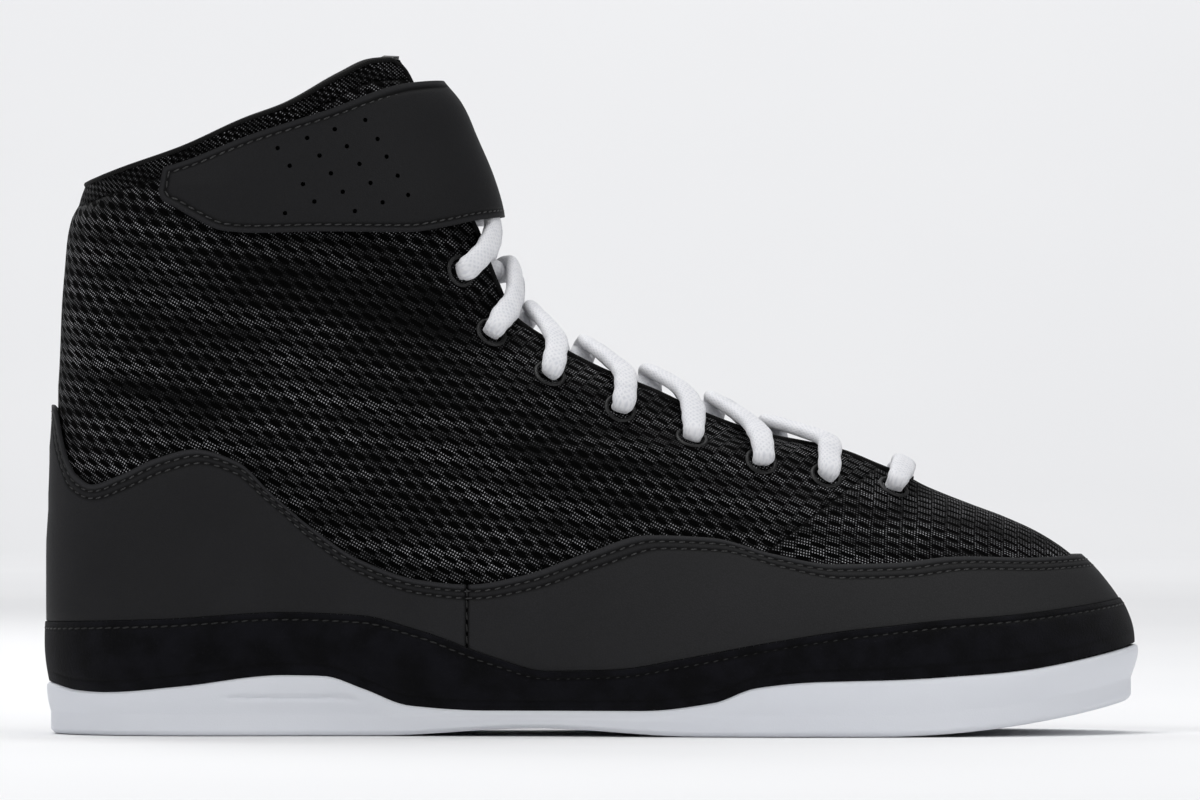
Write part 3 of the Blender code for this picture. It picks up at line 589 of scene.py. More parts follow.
def knitMaterial(name, look):
    sheet = Sheet(name, 0.7, Specular_IOR_Level=0.05)
    place = sheet.place()
    u, v = sheet.map("UVMap")
    across, pastSeam = sheet.map("panelMap")
    # The second value of this map is the painted shade of the knit.
    below, paintedLight = sheet.map("toneMap")
    toePanel = sheet.maths("GREATER_THAN", pastSeam, 0.0)
    strip = sheet.maths("LESS_THAN", below, look["stripBelow"])
    driftOne = (sheet.noise(place, 38.0) - 0.5) * look["wander"]
    driftTwo = (sheet.noise(sheet.shifted(place, 7.3), 46.0) - 0.5) * look["wander"]
    cosine, sine = math.cos(look["lean"]), math.sin(look["lean"])
    p = (u * cosine - v * sine) * (1.0 - toePanel) + u * toePanel + driftOne
    q = (u * sine + v * cosine) * (1.0 - toePanel) + across * toePanel + driftTwo
    finer = 1.0 + strip * look["stripFiner"]
    columns = p * finer / look["column"]
    number = sheet.maths("FLOOR", columns)
    sideways = sheet.maths("ABSOLUTE", columns - number - 0.5) * 2.0
    rows = q * finer / look["row"] + sheet.maths("FRACT", number * 0.5)
    upward = sheet.maths("ABSOLUTE", sheet.maths("FRACT", rows) - 0.5)
    reachP = sideways * (look["column"] / look["holeLong"])
    reachQ = upward * (look["row"] / look["holeHigh"])
    far = reachP ** 2.4 + reachQ ** 2.0
    hole = sheet.spread(far, 1.45, 0.55)
    border = sheet.spread(sideways, 0.80, 1.0)
    rib = sheet.wave(p, look["rib"]) * 0.5 + 0.5
    loops = sheet.wave(q, look["rib"] * 1.08) * 0.5 + 0.5
    weave = rib * (0.45 + loops * 0.55)
    fuzz = sheet.noise(place, look["fuzz"])
    patch = 1.0 - sheet.maths("MAXIMUM", hole, border * 0.55)
    stripSeam = sheet.dip(below, look["stripBelow"], look["stripSeam"])
    seam = sheet.dip(pastSeam, -0.0001, look["seam"]) + stripSeam
    roll = sheet.dip(pastSeam, look["rollAt"], look["roll"])
    height = patch * (0.70 + weave * 0.22) + fuzz * 0.10 + roll * 0.5 - seam * 0.9
    # Painted light: random patches of stronger and weaker highlight, times the painted shade read from the
    # map.
    paintedLightZones = sheet.spread(sheet.noise(place, 26.0), 0.30, 0.70, 0.55, 1.15) * paintedLight
    x, _, z = sheet.split(place)
    # Painted fold shade: diagonal dark bands across the upper that dim the highlight.
    foldShadeBands = sheet.wave(z + x * look["bandLean"] + driftOne * 3.0, look["band"]) * 0.5 + 0.5
    paintedLightZones = paintedLightZones * (0.45 + foldShadeBands * 0.75) * sheet.spread(roll, -0.8, 0.1, 0.08, 1.0)
    paintedLightZones = paintedLightZones * sheet.spread(sheet.noise(place, look["fleck"]), 0.35, 0.65, 0.5, 1.2)
    # Painted highlight: light glints on the rib tops of the yarn patches, put in the colour in place of
    # specular shine.
    gleam = sheet.spread(rib * loops + fuzz * 0.6, 0.76, 1.12) * patch * paintedLightZones * (1.0 - strip * 0.4)
    # Painted shade in recesses: the holes, the gaps between columns and the seams are only bumped, and their
    # near-black colour stands in for the shade in them.
    colour = sheet.mix(patch, grey(look["holeShade"]), grey(look["thread"], 0.08))
    colour = sheet.mix(gleam, colour, grey(look["shine"], 0.04))
    colour = sheet.mix(sheet.maths("MINIMUM", seam, 1.0) * 0.8, colour, grey(look["holeShade"]))
    return sheet.finish(colour, 0.92 - patch * 0.34, sheet.relief(height, look["depth"], 0.9))


def clothMaterial(name, level, pitch=0.0009):
    sheet = Sheet(name, 0.9, Sheen_Weight=0.25, Sheen_Roughness=0.5)
    place, u, v = sheet.uv()
    checks = sheet.wave(u, pitch) * sheet.wave(v, pitch)
    weave = sheet.maths("MAXIMUM", checks, 0.0) + sheet.noise(place, 3000.0) * 0.4
    colour = sheet.mix(weave, grey(level * 0.6), grey(level * 1.5))
    return sheet.finish(colour, None, sheet.relief(weave, 0.00018, 0.8))


leatherLook = {"rear": 0.0148, "front": 0.0240, "cool": 0.07, "grain": 0.00006, "seams": (0.0018, 0.0037),
               "seamWidth": 0.00062, "seamDepth": 0.00034}


def leatherMaterial(name, look):
    sheet = Sheet(name, 0.55, Specular_IOR_Level=0.08)
    cool = look["cool"]
    place = sheet.place()
    along = sheet.spread(sheet.split(place)[0], 0.02, 0.20)
    fromEdge, fromEnd = sheet.map("edgeMap")
    grainLow = sheet.spread(sheet.cracks(place, 1500.0), 0.0, 0.22)
    pores = sheet.noise(place, 900.0, 3.0)
    cloud = sheet.noise(place, 22.0, 3.0)
    trough = sheet.dip(fromEnd, 0.0, look["seamWidth"])
    for seam in look["seams"]:
        trough = trough + sheet.dip(fromEdge, seam, look["seamWidth"])
    # Strip between the cut edge and the first stitch row: raised in the bump, and painted lighter as a
    # highlight where the rounded edge would catch light.
    raisedWeltAndHighlight = sheet.dip(fromEdge, look["seams"][0] * 0.5, look["seams"][0] * 0.36)
    colour = sheet.mix(along, grey(look["rear"], cool), grey(look["front"], cool * 0.4))
    colour = sheet.mix(sheet.spread(cloud, 0.3, 0.7) * 0.35, colour, grey(look["front"] * 1.15, cool))
    colour = sheet.mix((1.0 - grainLow) * 0.25, colour, grey(look["rear"] * 0.5))
    colour = sheet.mix(raisedWeltAndHighlight * 0.55, colour, grey(look["front"] * 1.5, cool))
    # Painted shadow: the stitch troughs and the end seam are darkened almost to black around the stitches.
    colour = sheet.mix(sheet.maths("MINIMUM", trough, 1.0) * 0.95, colour, grey(look["rear"] * 0.10))
    rough = 0.50 + cloud * 0.10 + pores * 0.05
    normal = sheet.relief(0.0 - trough + raisedWeltAndHighlight * 0.35, look["seamDepth"], 1.0)
    normal = sheet.relief(grainLow * 0.7 + pores * 0.6, look["grain"], 0.5, normal)
    normal = sheet.relief(cloud, 0.0012, 0.10, normal)
    return sheet.finish(colour, rough, normal)


suedeLook = {"low": 0.0016, "high": 0.0046, "nap": 0.013, "napDepth": 0.00030, "seam": 0.0018,
             "endSeam": 0.0030, "seamWidth": 0.0005, "seamDepth": 0.0003}


def suedeMaterial(name, look):
    sheet = Sheet(name, 0.97, Sheen_Weight=0.05, Sheen_Roughness=0.5, Specular_IOR_Level=0.10)
    place = sheet.place()
    fromEdge, fromEnd = sheet.map("edgeMap")
    nap = sheet.noise(place, 1500.0, 4.0, 0.65)
    patch = sheet.noise(place, 130.0, 3.0)
    endTrough = sheet.dip(fromEnd, look["endSeam"], look["seamWidth"])
    trough = sheet.dip(fromEdge, look["seam"], look["seamWidth"]) + endTrough * 0.5
    colour = sheet.mix(sheet.spread(patch, 0.3, 0.7), grey(look["low"], 0.4), grey(look["high"], 0.45))
    colour = sheet.mix(sheet.spread(nap, 0.55, 0.8) * 0.5, colour, grey(look["nap"], 0.25))
    # Painted shadow: the stitch troughs on the suede are darkened.
    colour = sheet.mix(trough * 0.8, colour, grey(0.0006))
    normal = sheet.relief(nap, look["napDepth"], 0.7, sheet.relief(0.0 - trough, look["seamDepth"], 1.0))
    return sheet.finish(colour, None, normal)


rubberLook = {"low": (0.68, 0.70, 0.75, 1.0), "high": (0.77, 0.785, 0.82, 1.0), "grain": 0.00006}


def rubberMaterial(name, look):
    sheet = Sheet(name, 0.5, Specular_IOR_Level=0.4)
    place = sheet.place()
    fine, cloud = sheet.noise(place, 2400.0), sheet.noise(place, 14.0)
    colour = sheet.mix(cloud, look["low"], look["high"])
    return sheet.finish(colour, 0.46 + cloud * 0.12, sheet.relief(fine, look["grain"], 0.5))


braidLook = {"strands": 14, "pitch": 0.0016, "low": (0.66, 0.67, 0.71, 1.0), "high": (0.84, 0.84, 0.86, 1.0),
             "depth": 0.00030}


def laceMaterial(name, look):
    sheet = Sheet(name, 0.9, Sheen_Weight=0.25, Sheen_Roughness=0.4, Specular_IOR_Level=0.25)
    place, u, v = sheet.uv()
    around = u * (2 * math.pi * look["strands"])
    along = v * (2 * math.pi / look["pitch"])
    braidOne = sheet.maths("SINE", around + along)
    braidTwo = sheet.maths("SINE", around - along)
    weave = sheet.maths("MAXIMUM", braidOne, braidTwo) * 0.5 + 0.5
    fibre = sheet.noise(place, 2600.0, 3.0)
    pulls = sheet.noise(sheet.vector(u * 0.004, v), 420.0)
    height = weave * 0.35 + fibre * 0.5 + pulls * 0.5
    # The colour follows the braid's height: its lower weave is painted greyer as shade, and the fibre and
    # pull noise add random tone.
    colour = sheet.mix(sheet.spread(height, 0.35, 0.95), look["low"], look["high"])
    return sheet.finish(colour, None, sheet.relief(height, look["depth"], 0.6))


def threadMaterial(name, low, high):
    sheet = Sheet(name, 0.45, Specular_IOR_Level=0.3)
    place = sheet.place()
    twistAndGlint = sheet.noise(place, 3500.0)
    # The twist noise gives the thread random tone and painted glints: its light spots stand in for highlights
    # on the black thread.
    colour = sheet.mix(sheet.spread(twistAndGlint, 0.35, 0.75), grey(low), grey(high))
    return sheet.finish(colour, None, sheet.relief(twistAndGlint, 0.0001, 0.5))


tapeLook = {"rib": 0.0007, "low": 0.0025, "high": 0.0080, "depth": 0.00010}


def tapeMaterial(name, look):
    sheet = Sheet(name, 0.7, Specular_IOR_Level=0.12)
    place, _, v = sheet.uv()
    ribs = sheet.wave(v, look["rib"]) * 0.5 + 0.5
    fuzz = sheet.noise(place, 2500.0)
    colour = sheet.mix(ribs * 0.5 + fuzz * 0.4, grey(look["low"]), grey(look["high"]))
    return sheet.finish(colour, None, sheet.relief(ribs + fuzz * 0.4, look["depth"], 0.5))


knit = knitMaterial("knit", knitLook)
lining = clothMaterial("lining", 0.008)
leather = leatherMaterial("overlayLeather", leatherLook)
strapLeather = leatherMaterial("strapLeather", dict(leatherLook, rear=0.0132, front=0.0145, seams=(0.0019,)))
suede = suedeMaterial("suede", suedeLook)
rubber = rubberMaterial("rubber", rubberLook)
laceCloth = laceMaterial("laceCloth", braidLook)
thread = threadMaterial("thread", 0.006, 0.055)
darkThread = threadMaterial("darkThread", 0.002, 0.020)
tape = tapeMaterial("tape", tapeLook)
insoleCloth = clothMaterial("insoleCloth", 0.010, 0.0013)
print("stage: materials")


def throatLine(heights, inset=0.0):
    angle = reachAngle(heights, throatHalf - inset)
    for _ in range(3):
        angle = reachAngle(heights, throatHalfAt(lastPoint(angle, heights)[..., 0]) - inset)
    return angle


endRadius = float(throatHalfAt(throatToe))


# Angle of the throat's edge at each height, 0 where the throat is closed.
def throatEdgeAngle(heights, inset=0.0):
    heights = np.asarray(heights, dtype=float)
    angle = throatLine(heights, inset)
    x = lastPoint(angle, heights)[..., 0]
    middle = throatToe - endRadius
    for _ in range(12):
        reach = np.clip((x - middle) / endRadius, 0, 1)
        wide = np.sqrt(1 - reach ** 2) * (endRadius - inset)
        limit = np.where(x > middle, wide, throatHalfAt(x) - inset)
        angle = reachAngle(heights, np.maximum(limit, 0.0))
        x = 0.5 * x + 0.5 * lastPoint(angle, heights)[..., 0]
    front = ringEnds(heights)[1]
    return np.where(front <= throatToe, angle, 0.0)


lastBottom = formRows[0][0] * collarHeight
heelTurn = 0.060


def ridgeHeight(x):
    heights = np.linspace(formRows[2][0], 1.0, 400) * collarHeight
    return np.interp(-np.asarray(x), -ringEnds(heights)[1], heights)


def lookUp(table, rowPlace, columnPlace):
    rows, columns = table.shape
    rowPlace = np.clip(rowPlace, 0, rows - 1.001)
    columnPlace = np.clip(columnPlace, 0, columns - 1.001)
    r, c = rowPlace.astype(int), columnPlace.astype(int)
    fr, fc = rowPlace - r, columnPlace - c
    return ((table[r, c] * (1 - fc) + table[r, c + 1] * fc) * (1 - fr)
            + (table[r + 1, c] * (1 - fc) + table[r + 1, c + 1] * fc) * fr)


# Lengths over one side of the last, along it and up it, so that cloth lies on it unstretched.
class SideMap:
    def __init__(self, side):
        self.side = side
        self.places = np.linspace(0.004, 0.955, 170) * shoeLength
        self.tops = ridgeHeight(self.places)
        share = 1 - (1 - np.linspace(0, 1, 150)) ** 2
        heights = lastBottom + (self.tops - lastBottom)[None] * share[:, None]
        angles = sideAngle(self.places[None] + 0 * heights, heights, side)
        sides = lastPoint(angles, heights)[..., 1]
        self.upward = runLength(np.stack([0 * heights, sides, heights], axis=-1), 0)
        self.levels = np.linspace(lastBottom, collarHeight, 60)
        turns = side * np.pi * (1 - np.linspace(0, 1, 240))
        level = np.repeat(self.levels[:, None], len(turns), axis=1)
        ring = lastPoint(np.repeat(turns[None], len(self.levels), axis=0), level)
        self.around = runLength(ring, 1)

    def along(self, angle, height):
        return lookUp(self.around, (height - self.levels[0]) / (self.levels[1] - self.levels[0]),
                      (1 - np.abs(angle) / np.pi) * (self.around.shape[1] - 1))

    def lengths(self, angle, height):
        x = lastPoint(angle, height)[..., 0]
        column = (x - self.places[0]) / (self.places[1] - self.places[0])
        tops = np.interp(x, self.places, self.tops)
        row = 1 - np.sqrt(1 - np.clip((height - lastBottom) / (tops - lastBottom), 0, 1))
        upward = lookUp(self.upward, row * (self.upward.shape[0] - 1), column)
        upward = upward + (height - lastBottom - upward) * (1 - smoothStep(0.02, 0.06, x))
        ridge = np.interp(x, self.places, self.upward[-1])
        turned = np.minimum(x, heelTurn)
        atTurn = self.along(sideAngle(turned, height, self.side), height)
        along = np.where(x < heelTurn, self.along(angle, height), atTurn + x - heelTurn)
        return along, upward, (upward - ridge) * -self.side


panelSeam = {"from": (0.2094, 0.0613), "to": (0.1937, 0.0496)}


def pastPanelSeam(x, z):
    (startX, startZ), (endX, endZ) = panelSeam["from"], panelSeam["to"]
    size = math.hypot(endX - startX, endZ - startZ)
    return ((x - startX) * (startZ - endZ) - (z - startZ) * (startX - endX)) / size


upperLook = {"columns": 150, "levels": 150, "creaseDepth": 0.0012, "puff": 0.0008, "stripDip": 0.0004,
             "levelShares": (0, 0.16, 0.34, 0.66, 0.82, 1),
             "levelPlaces": (0.0, 0.19, 0.335, 0.52, 0.66, 1.0)}
creaseNames = ("startX", "startZ", "endX", "endZ", "width", "depth")
creaseRows = (
    (0.118, 0.106, 0.064, 0.122, 0.0050, 0.8), (0.112, 0.112, 0.070, 0.140, 0.0045, 0.6),
    (0.015, 0.1107, 0.0652, 0.1042, 0.0030, 0.8), (0.0115, 0.0953, 0.0569, 0.0842, 0.0042, 1.0),
    (0.0073, 0.1205, 0.0303, 0.1272, 0.0030, 0.5), (0.0669, 0.0612, 0.1255, 0.0556, 0.0032, 0.6),
    (0.118, 0.0758, 0.1438, 0.0795, 0.0024, 0.6), (0.236, 0.066, 0.214, 0.050, 0.0040, 0.5),
    (0.222, 0.070, 0.196, 0.050, 0.0045, -0.4), (0.012, 0.1030, 0.060, 0.0955, 0.0040, -0.4),
)


def upperRelief(x, z):
    out = np.zeros(np.broadcast(x, z).shape)
    for row in creaseRows:
        crease = dict(zip(creaseNames, row))
        runX, runZ = crease["endX"] - crease["startX"], crease["endZ"] - crease["startZ"]
        share = ((x - crease["startX"]) * runX + (z - crease["startZ"]) * runZ) / (runX ** 2 + runZ ** 2)
        held = np.clip(share, 0, 1)
        apart = np.hypot(x - crease["startX"] - runX * held, z - crease["startZ"] - runZ * held)
        fade = smoothStep(-0.15, 0.25, share) * (1 - smoothStep(0.7, 1.1, share))
        out -= upperLook["creaseDepth"] * crease["depth"] * bump(apart, 0, crease["width"]) * fade
    below = toplineAt(x) - z
    strip = upperLook["stripDip"] * bump(below, knitLook["stripBelow"], 0.0016)
    return out + upperLook["puff"] * bump(below, 0.012, 0.008) - strip


# Painted shade on the knit: soft dark patches under the strap, over the middle of the quarter, further
# forward and at the top of the heel.
paintedShadeNames = ("x", "z", "reachX", "reachZ", "share")
paintedShadeRows = (
    (0.058, 0.123, 0.026, 0.011, 0.85), (0.098, 0.106, 0.030, 0.028, 0.55),
    (0.160, 0.075, 0.040, 0.016, 0.50), (0.012, 0.150, 0.016, 0.020, 0.45),
)


# Share of the knit's painted highlight left at each place: lower in the painted shade patches and in the
# creases.
def upperPaintedLight(x, z):
    share = np.ones(np.broadcast(x, z).shape)
    for row in paintedShadeRows:
        paintedShade = dict(zip(paintedShadeNames, row))
        away = ((x - paintedShade["x"]) / paintedShade["reachX"]) ** 2 + ((z - paintedShade["z"]) / paintedShade["reachZ"]) ** 2
        share = share - paintedShade["share"] * np.exp(-away)
    # Painted shade in the creases: the deeper the crease, the darker the knit.
    folded = np.minimum(upperRelief(x, z) / upperLook["creaseDepth"], 0)
    return np.clip(share * (1 + 0.9 * folded), 0.05, 1)


# Angles and heights of one side of the upper, from the throat's edge round to the heel.
def upperSide(side):
    look = upperLook
    levels = np.interp(np.linspace(0, 1, look["levels"]), look["levelShares"], look["levelPlaces"])
    spread = np.linspace(0, 1, look["columns"]) ** 1.15
    frontHeights = lastBottom + (collarHeight - lastBottom) * levels
    edge = throatEdgeAngle(frontHeights)
    tops = meetHeight(side * (edge[-1] + (np.pi - edge[-1]) * spread), toplineAt)
    height = lastBottom + (tops[None, :] - lastBottom) * levels[:, None]
    blend = smoothStep(0.0, 0.35, spread)[None, :]
    height = frontHeights[:, None] * (1 - blend) + height * blend
    height = height + (tops[None, :] - height[-1:, :]) * levels[:, None] ** 6
    edgeHere = throatEdgeAngle(height)
    return side * (edgeHere + (np.pi - edgeHere) * spread[None, :]), height


def makeUpper():
    pieces = []
    for name, side in (("upperOuter", -1), ("upperInner", 1)):
        angle, height = upperSide(side)
        place = lastPoint(angle, height)
        x, z = place[..., 0], place[..., 2]
        points = onLast(angle, height, upperRelief(x, z))
        along, upward, across = SideMap(side).lengths(angle, height)
        # The third map holds the distance below the topline and the painted shade of the knit.
        pairs = ((along, upward), (across, pastPanelSeam(x, z)), (toplineAt(x) - height, upperPaintedLight(x, z)))
        maps = [np.stack(pair, axis=-1) for pair in pairs]
        if side < 0:
            points, maps = points[:, ::-1], [one[:, ::-1] for one in maps]
        piece = gridPiece(name, points, maps[0], knit, panelMap=maps[1], toneMap=maps[2])
        piece.data.materials.append(lining)
        pieces.append(piece)
    upper = joinPieces("upperKnit", pieces, 0.00006)
    applied(upper, "SOLIDIFY", thickness=upperWall, offset=-1.0, use_even_offset=False, material_offset=1,
            material_offset_rim=0)
    finishPiece(upper, "knit", "upper")


def flatRun(points):
    return runLength(np.asarray(points) * (1.0, 1.0, 0.0), 0)


def fromLine(places, line):
    near = np.full(places.shape[:-1], 1.0)
    for start, end in zip(line[:-1], line[1:]):
        run = end - start
        share = np.clip(((places - start) @ run) / max(float(run @ run), 1e-12), 0, 1)
        near = np.minimum(near, np.linalg.norm(places - start - share[..., None] * run, axis=-1))
    return near


# The line moved to its right by a distance, without the loops of its tight corners.
def insetLine(line, distance):
    heading = unit(np.gradient(line, axis=0))
    moved = line + np.stack([heading[:, 1], -heading[:, 0]], axis=-1) * distance
    return moved[fromLine(moved, line) > 0.96 * distance]


overlayLook = {"thick": 0.0010, "edge": 0.00035, "suedeThick": 0.0013, "swell": 0.0004, "seamGap": 0.0003}
seamPlace = 0.3818 * shoeLength


# A patch on the last from one angle to another, between two edge lines given as heights.
def overlayPiece(name, span, shares, edges, thick, material, wrap=False, seamSide=0, swell=0.0):
    (startAt, endAt), (lowAt, highAt) = span, edges
    rows = np.concatenate([np.linspace(0, 0.80, 12), np.linspace(0.84, 1, 8)])[:, None]

    def angleAt(height):
        return startAt(height) + (endAt(height) - startAt(height)) * shares[None, :]

    height = meetPlace(angleAt, lambda x: lowAt(x) + (highAt(x) - lowAt(x)) * rows, (len(rows), len(shares)))
    angle = angleAt(height) + np.zeros_like(height)
    points = onLast(angle, height, overlayGap + thick / 2 + swell * np.sin(np.pi * rows))
    runs = flatRun(lastPoint(angle[-1], height[-1]))
    edge = np.stack([runs, height[-1]], axis=-1)
    places = np.stack([np.interp(angle, angle[-1], runs), height], axis=-1)
    along = lastPoint(angle, height)[..., 0]
    fromEnd = (along - seamPlace) * seamSide if seamSide else height - lowAt(along)
    edgeMap = np.stack([fromLine(places, edge), fromEnd], axis=-1)
    piece = gridPiece(name, points, gridUv(points), material, wrap, edgeMap=edgeMap)
    thicken(piece, thick, overlayLook["edge"])
    return piece


def fullRound(count):
    turn = np.linspace(-np.pi, np.pi, count)
    return turn + 0.12 * np.sin(2 * turn)


def aboveRand(x):
    return randAt(x) + 0.0001


def aboveSole(x):
    return soleEdgeAt(x) + 0.0004


def seamAngle(side, shift, turns=0.0):
    return lambda height: turns + sideAngle(seamPlace + shift, height, side)


def makeOverlays():
    look = overlayLook
    gap = look["seamGap"] / 2
    span = seamAngle(-1, gap), seamAngle(1, gap)
    piece = overlayPiece("foxingToe", span, np.linspace(0, 1, 340), (aboveRand, foxingAt), look["thick"],
                         leather, seamSide=1)
    finishPiece(piece, "overlay", "foxing_toe")
    span = seamAngle(1, -gap), seamAngle(-1, -gap, 2 * np.pi)
    piece = overlayPiece("foxingHeel", span, np.linspace(0, 1, 400), (aboveRand, foxingAt), look["thick"],
                         leather, seamSide=-1)
    finishPiece(piece, "overlay", "foxing_heel")
    span = (lambda height: -np.pi), (lambda height: np.pi)
    piece = overlayPiece("suedeBand", span, (fullRound(420) + np.pi) / (2 * np.pi), (aboveSole, randAt),
                         look["suedeThick"], suede, True, swell=look["swell"])
    finishPiece(piece, "suede", "rand")


soleLook = {"columns": 420, "grooveHeight": 0.056, "grooveFrom": (0.160, 0.168), "grooveTo": (0.275, 0.283),
            "grooveDepth": 0.0007, "tread": 0.0013, "corner": 0.0012,
            "innerLip": ((0.0012, 0.0), (0.0005, 0.0002), (0.0001, 0.0007), (0.0, 0.0012)),
            "outerLip": ((0.0002, -0.0005), (0.0007, 0.0001), (0.0014, 0.0003))}


# How deep the cross grooves cut into the underside.
def treadDepth(x, y, lowY, highY):
    across = np.clip((y - lowY) / np.maximum(highY - lowY, 1e-6), 0, 1)
    bent = x - 0.004 * (1 - (2 * across - 1) ** 2)
    cut = np.zeros(x.shape)
    places = [0.055 + 0.225 * k / 4 for k in range(5)] + [0.620 + 0.300 * k / 8 for k in range(9)]
    for place in places:
        cut = np.maximum(cut, 1 - smoothStep(0.0008, 0.0014, np.abs(bent - place * shoeLength)))
    side = np.minimum(y - lowY, highY - y)
    return soleLook["tread"] * cut * smoothStep(0.0085, 0.0095, side)


def archEdge(angles, out):
    return solePoint(angles, archHeight(solePoint(angles, 0 * angles, 0.0)[..., 0]), out)


# Points of a flat piece that fills the sole's outline from one side to the other.
def fillAcross(edges, count):
    across = np.linspace(0, 1, count)[:, None, None]
    return edges[0][None] * (1 - across) + edges[1][None] * across


def makeSole():
    look = soleLook
    angles = fullRound(look["columns"])
    edges = meetHeight(angles, soleEdgeAt)
    floors = archHeight(solePoint(angles, np.zeros_like(angles), 0.0)[..., 0])
    outside, inside = fitGap + soleWall, fitGap
    top = outside + soleBulge
    corner, lipDrop, lipOut = look["corner"], *look["outerLip"][-1]
    rows = [(soleFloor + 0 * edges, inside + 0 * edges)]
    for start, lip in ((inside, look["innerLip"]), (outside, look["outerLip"])):
        rows += [(edges - drop, start + out + 0 * edges) for drop, out in lip]
    upperRow, lowerRow = edges - lipDrop, floors + corner
    for share in np.linspace(0.06, 1.0, 26):
        height = upperRow + (lowerRow - upperRow) * share
        out = outside + lipOut + (soleBulge - lipOut) * np.sin(np.pi / 2 * np.clip(share / 0.5, 0, 1))
        x = solePoint(angles, height, 0.0)[..., 0] / shoeLength
        along = smoothStep(*look["grooveFrom"], x) * (1 - smoothStep(*look["grooveTo"], x))
        groove = bump(height, look["grooveHeight"] * collarHeight, 0.0006) * along
        rows.append((height, out - look["grooveDepth"] * groove))
    for drop in (0.6, 0.25, 0.06, 0.0):
        rows.append((floors + corner * drop, top - corner * (1 - drop) ** 1.6))
    points = np.stack([solePoint(angles, height, out) for height, out in rows])
    side = gridPiece("soleSide", points, gridUv(points), rubber, True)
    turns = np.linspace(0.0, np.pi, look["columns"] // 2)
    edgePoints = [archEdge(s * turns, top - corner) for s in (-1, 1)]
    bottom = fillAcross(edgePoints, 90)
    bottom[..., 2] = archHeight(bottom[..., 0]) + treadDepth(
        bottom[..., 0], bottom[..., 1], edgePoints[0][None, :, 1], edgePoints[1][None, :, 1])
    base = gridPiece("soleBase", bottom, bottom[..., :2].copy(), rubber)
    lid = fillAcross([solePoint(s * turns, soleFloor + 0 * turns, inside) for s in (-1, 1)], 8)
    inner = gridPiece("soleLid", lid, lid[..., :2].copy(), rubber)
    whole = joinPieces("cupSole", (side, base, inner), weldGap)
    finishPiece(whole, "sole_rubber", "outsole")


strapLook = {"columns": 300, "rows": 46, "thick": 0.0021, "edge": 0.0005, "seam": 0.0019, "hole": 0.00062,
             "holeSides": 16, "holeDepth": 0.0032, "puff": 0.0006, "puffReach": 0.012, "level": 0.81,
             "tip": 0.1065, "sewn": 0.200}
strapHoles = (
    (0.2105, 0.865), (0.2361, 0.880), (0.2598, 0.893), (0.2858, 0.907), (0.2213, 0.839), (0.2470, 0.854),
    (0.2703, 0.868), (0.2963, 0.879), (0.2331, 0.812), (0.2571, 0.828), (0.2814, 0.842), (0.3044, 0.853),
    (0.2432, 0.787), (0.2676, 0.801), (0.2912, 0.814), (0.3142, 0.825), (0.2172, 0.770), (0.2784, 0.773),
    (0.3020, 0.786), (0.3236, 0.797),
)


# Angles along the strap, from its tip on the outer side round the front to its sewn end.
def strapSpan(count):
    level = strapLook["level"] * collarHeight
    tip, sewn = (float(sideAngle(strapLook[end] * shoeLength, level, 1, strapFrontAt))
                 for end in ("tip", "sewn"))
    share = np.linspace(0, 1, count)
    return -tip + (tip + sewn) * (0.80 * share + 0.20 * share ** 2)


def strapOutline(count=420):
    angles = strapSpan(count)
    low, high = (meetHeight(angles, edge, strapFrontAt) for edge in (strapLowAt, strapHighAt))
    middle = (low + high) / 2
    runs = flatRun(lastPoint(angles, middle, strapFrontAt(middle)))
    lowLine, highLine = np.stack([runs, low], axis=-1), np.stack([runs, high], axis=-1)
    end = highLine[-1:] + (lowLine[-1:] - highLine[-1:]) * np.linspace(0, 1, 30)[1:, None]
    tip = lowLine[:1] + (highLine[:1] - lowLine[:1]) * np.linspace(0, 1, 12)[1:-1, None]
    return angles, runs, np.concatenate([lowLine[::-1], tip, highLine, end])


def holeCutter():
    look = strapLook
    bpy.ops.mesh.primitive_cylinder_add(vertices=look["holeSides"], radius=look["hole"],
                                        depth=look["holeDepth"])
    frames = []
    for along, tall in strapHoles:
        height = np.array(tall * collarHeight)
        angle = sideAngle(np.array(along * shoeLength), height, -1, strapFrontAt)
        front = strapFrontAt(height)
        centre = onLast(angle, height, np.array(strapLift + look["thick"]), front)
        normal = lastNormal(angle, height, front)
        side = unit(np.cross(normal, (0.0, 0.0, 1.0)))
        frames.append((centre, side, np.cross(side, normal), normal))
    return fillWithCopies("holeCutter", verticesOf(bpy.context.active_object), frames)


def makeStrap():
    look = strapLook
    angles, runs, outline = strapOutline()
    columns = strapSpan(look["columns"])
    low, high = (meetHeight(columns, edge, strapFrontAt) for edge in (strapLowAt, strapHighAt))
    share = np.linspace(0, 1, look["rows"])
    share = share - 0.05 * np.sin(2 * np.pi * share)
    height = low[None, :] + (high - low)[None, :] * share[:, None]
    angle = np.repeat(columns[None, :], look["rows"], axis=0)
    front = strapFrontAt(height)
    places = np.stack([np.interp(angle, angles, runs), height], axis=-1)
    fromEdge = fromLine(places, outline)
    out = strapLift + look["thick"] / 2 + look["puff"] * smoothStep(0.0, look["puffReach"], fromEdge)
    points = onLast(angle, height, out, front)
    edgeMap = np.stack([fromEdge, np.ones_like(fromEdge)], axis=-1)
    piece = gridPiece("ankleStrap", points, gridUv(points), strapLeather, edgeMap=edgeMap)
    thicken(piece, look["thick"], look["edge"])
    cutter = holeCutter()
    applied(piece, "BOOLEAN", operation="DIFFERENCE", solver="EXACT", object=cutter)
    bpy.data.objects.remove(cutter, do_unlink=True)
    finishPiece(piece, "strap", "ankle_strap")


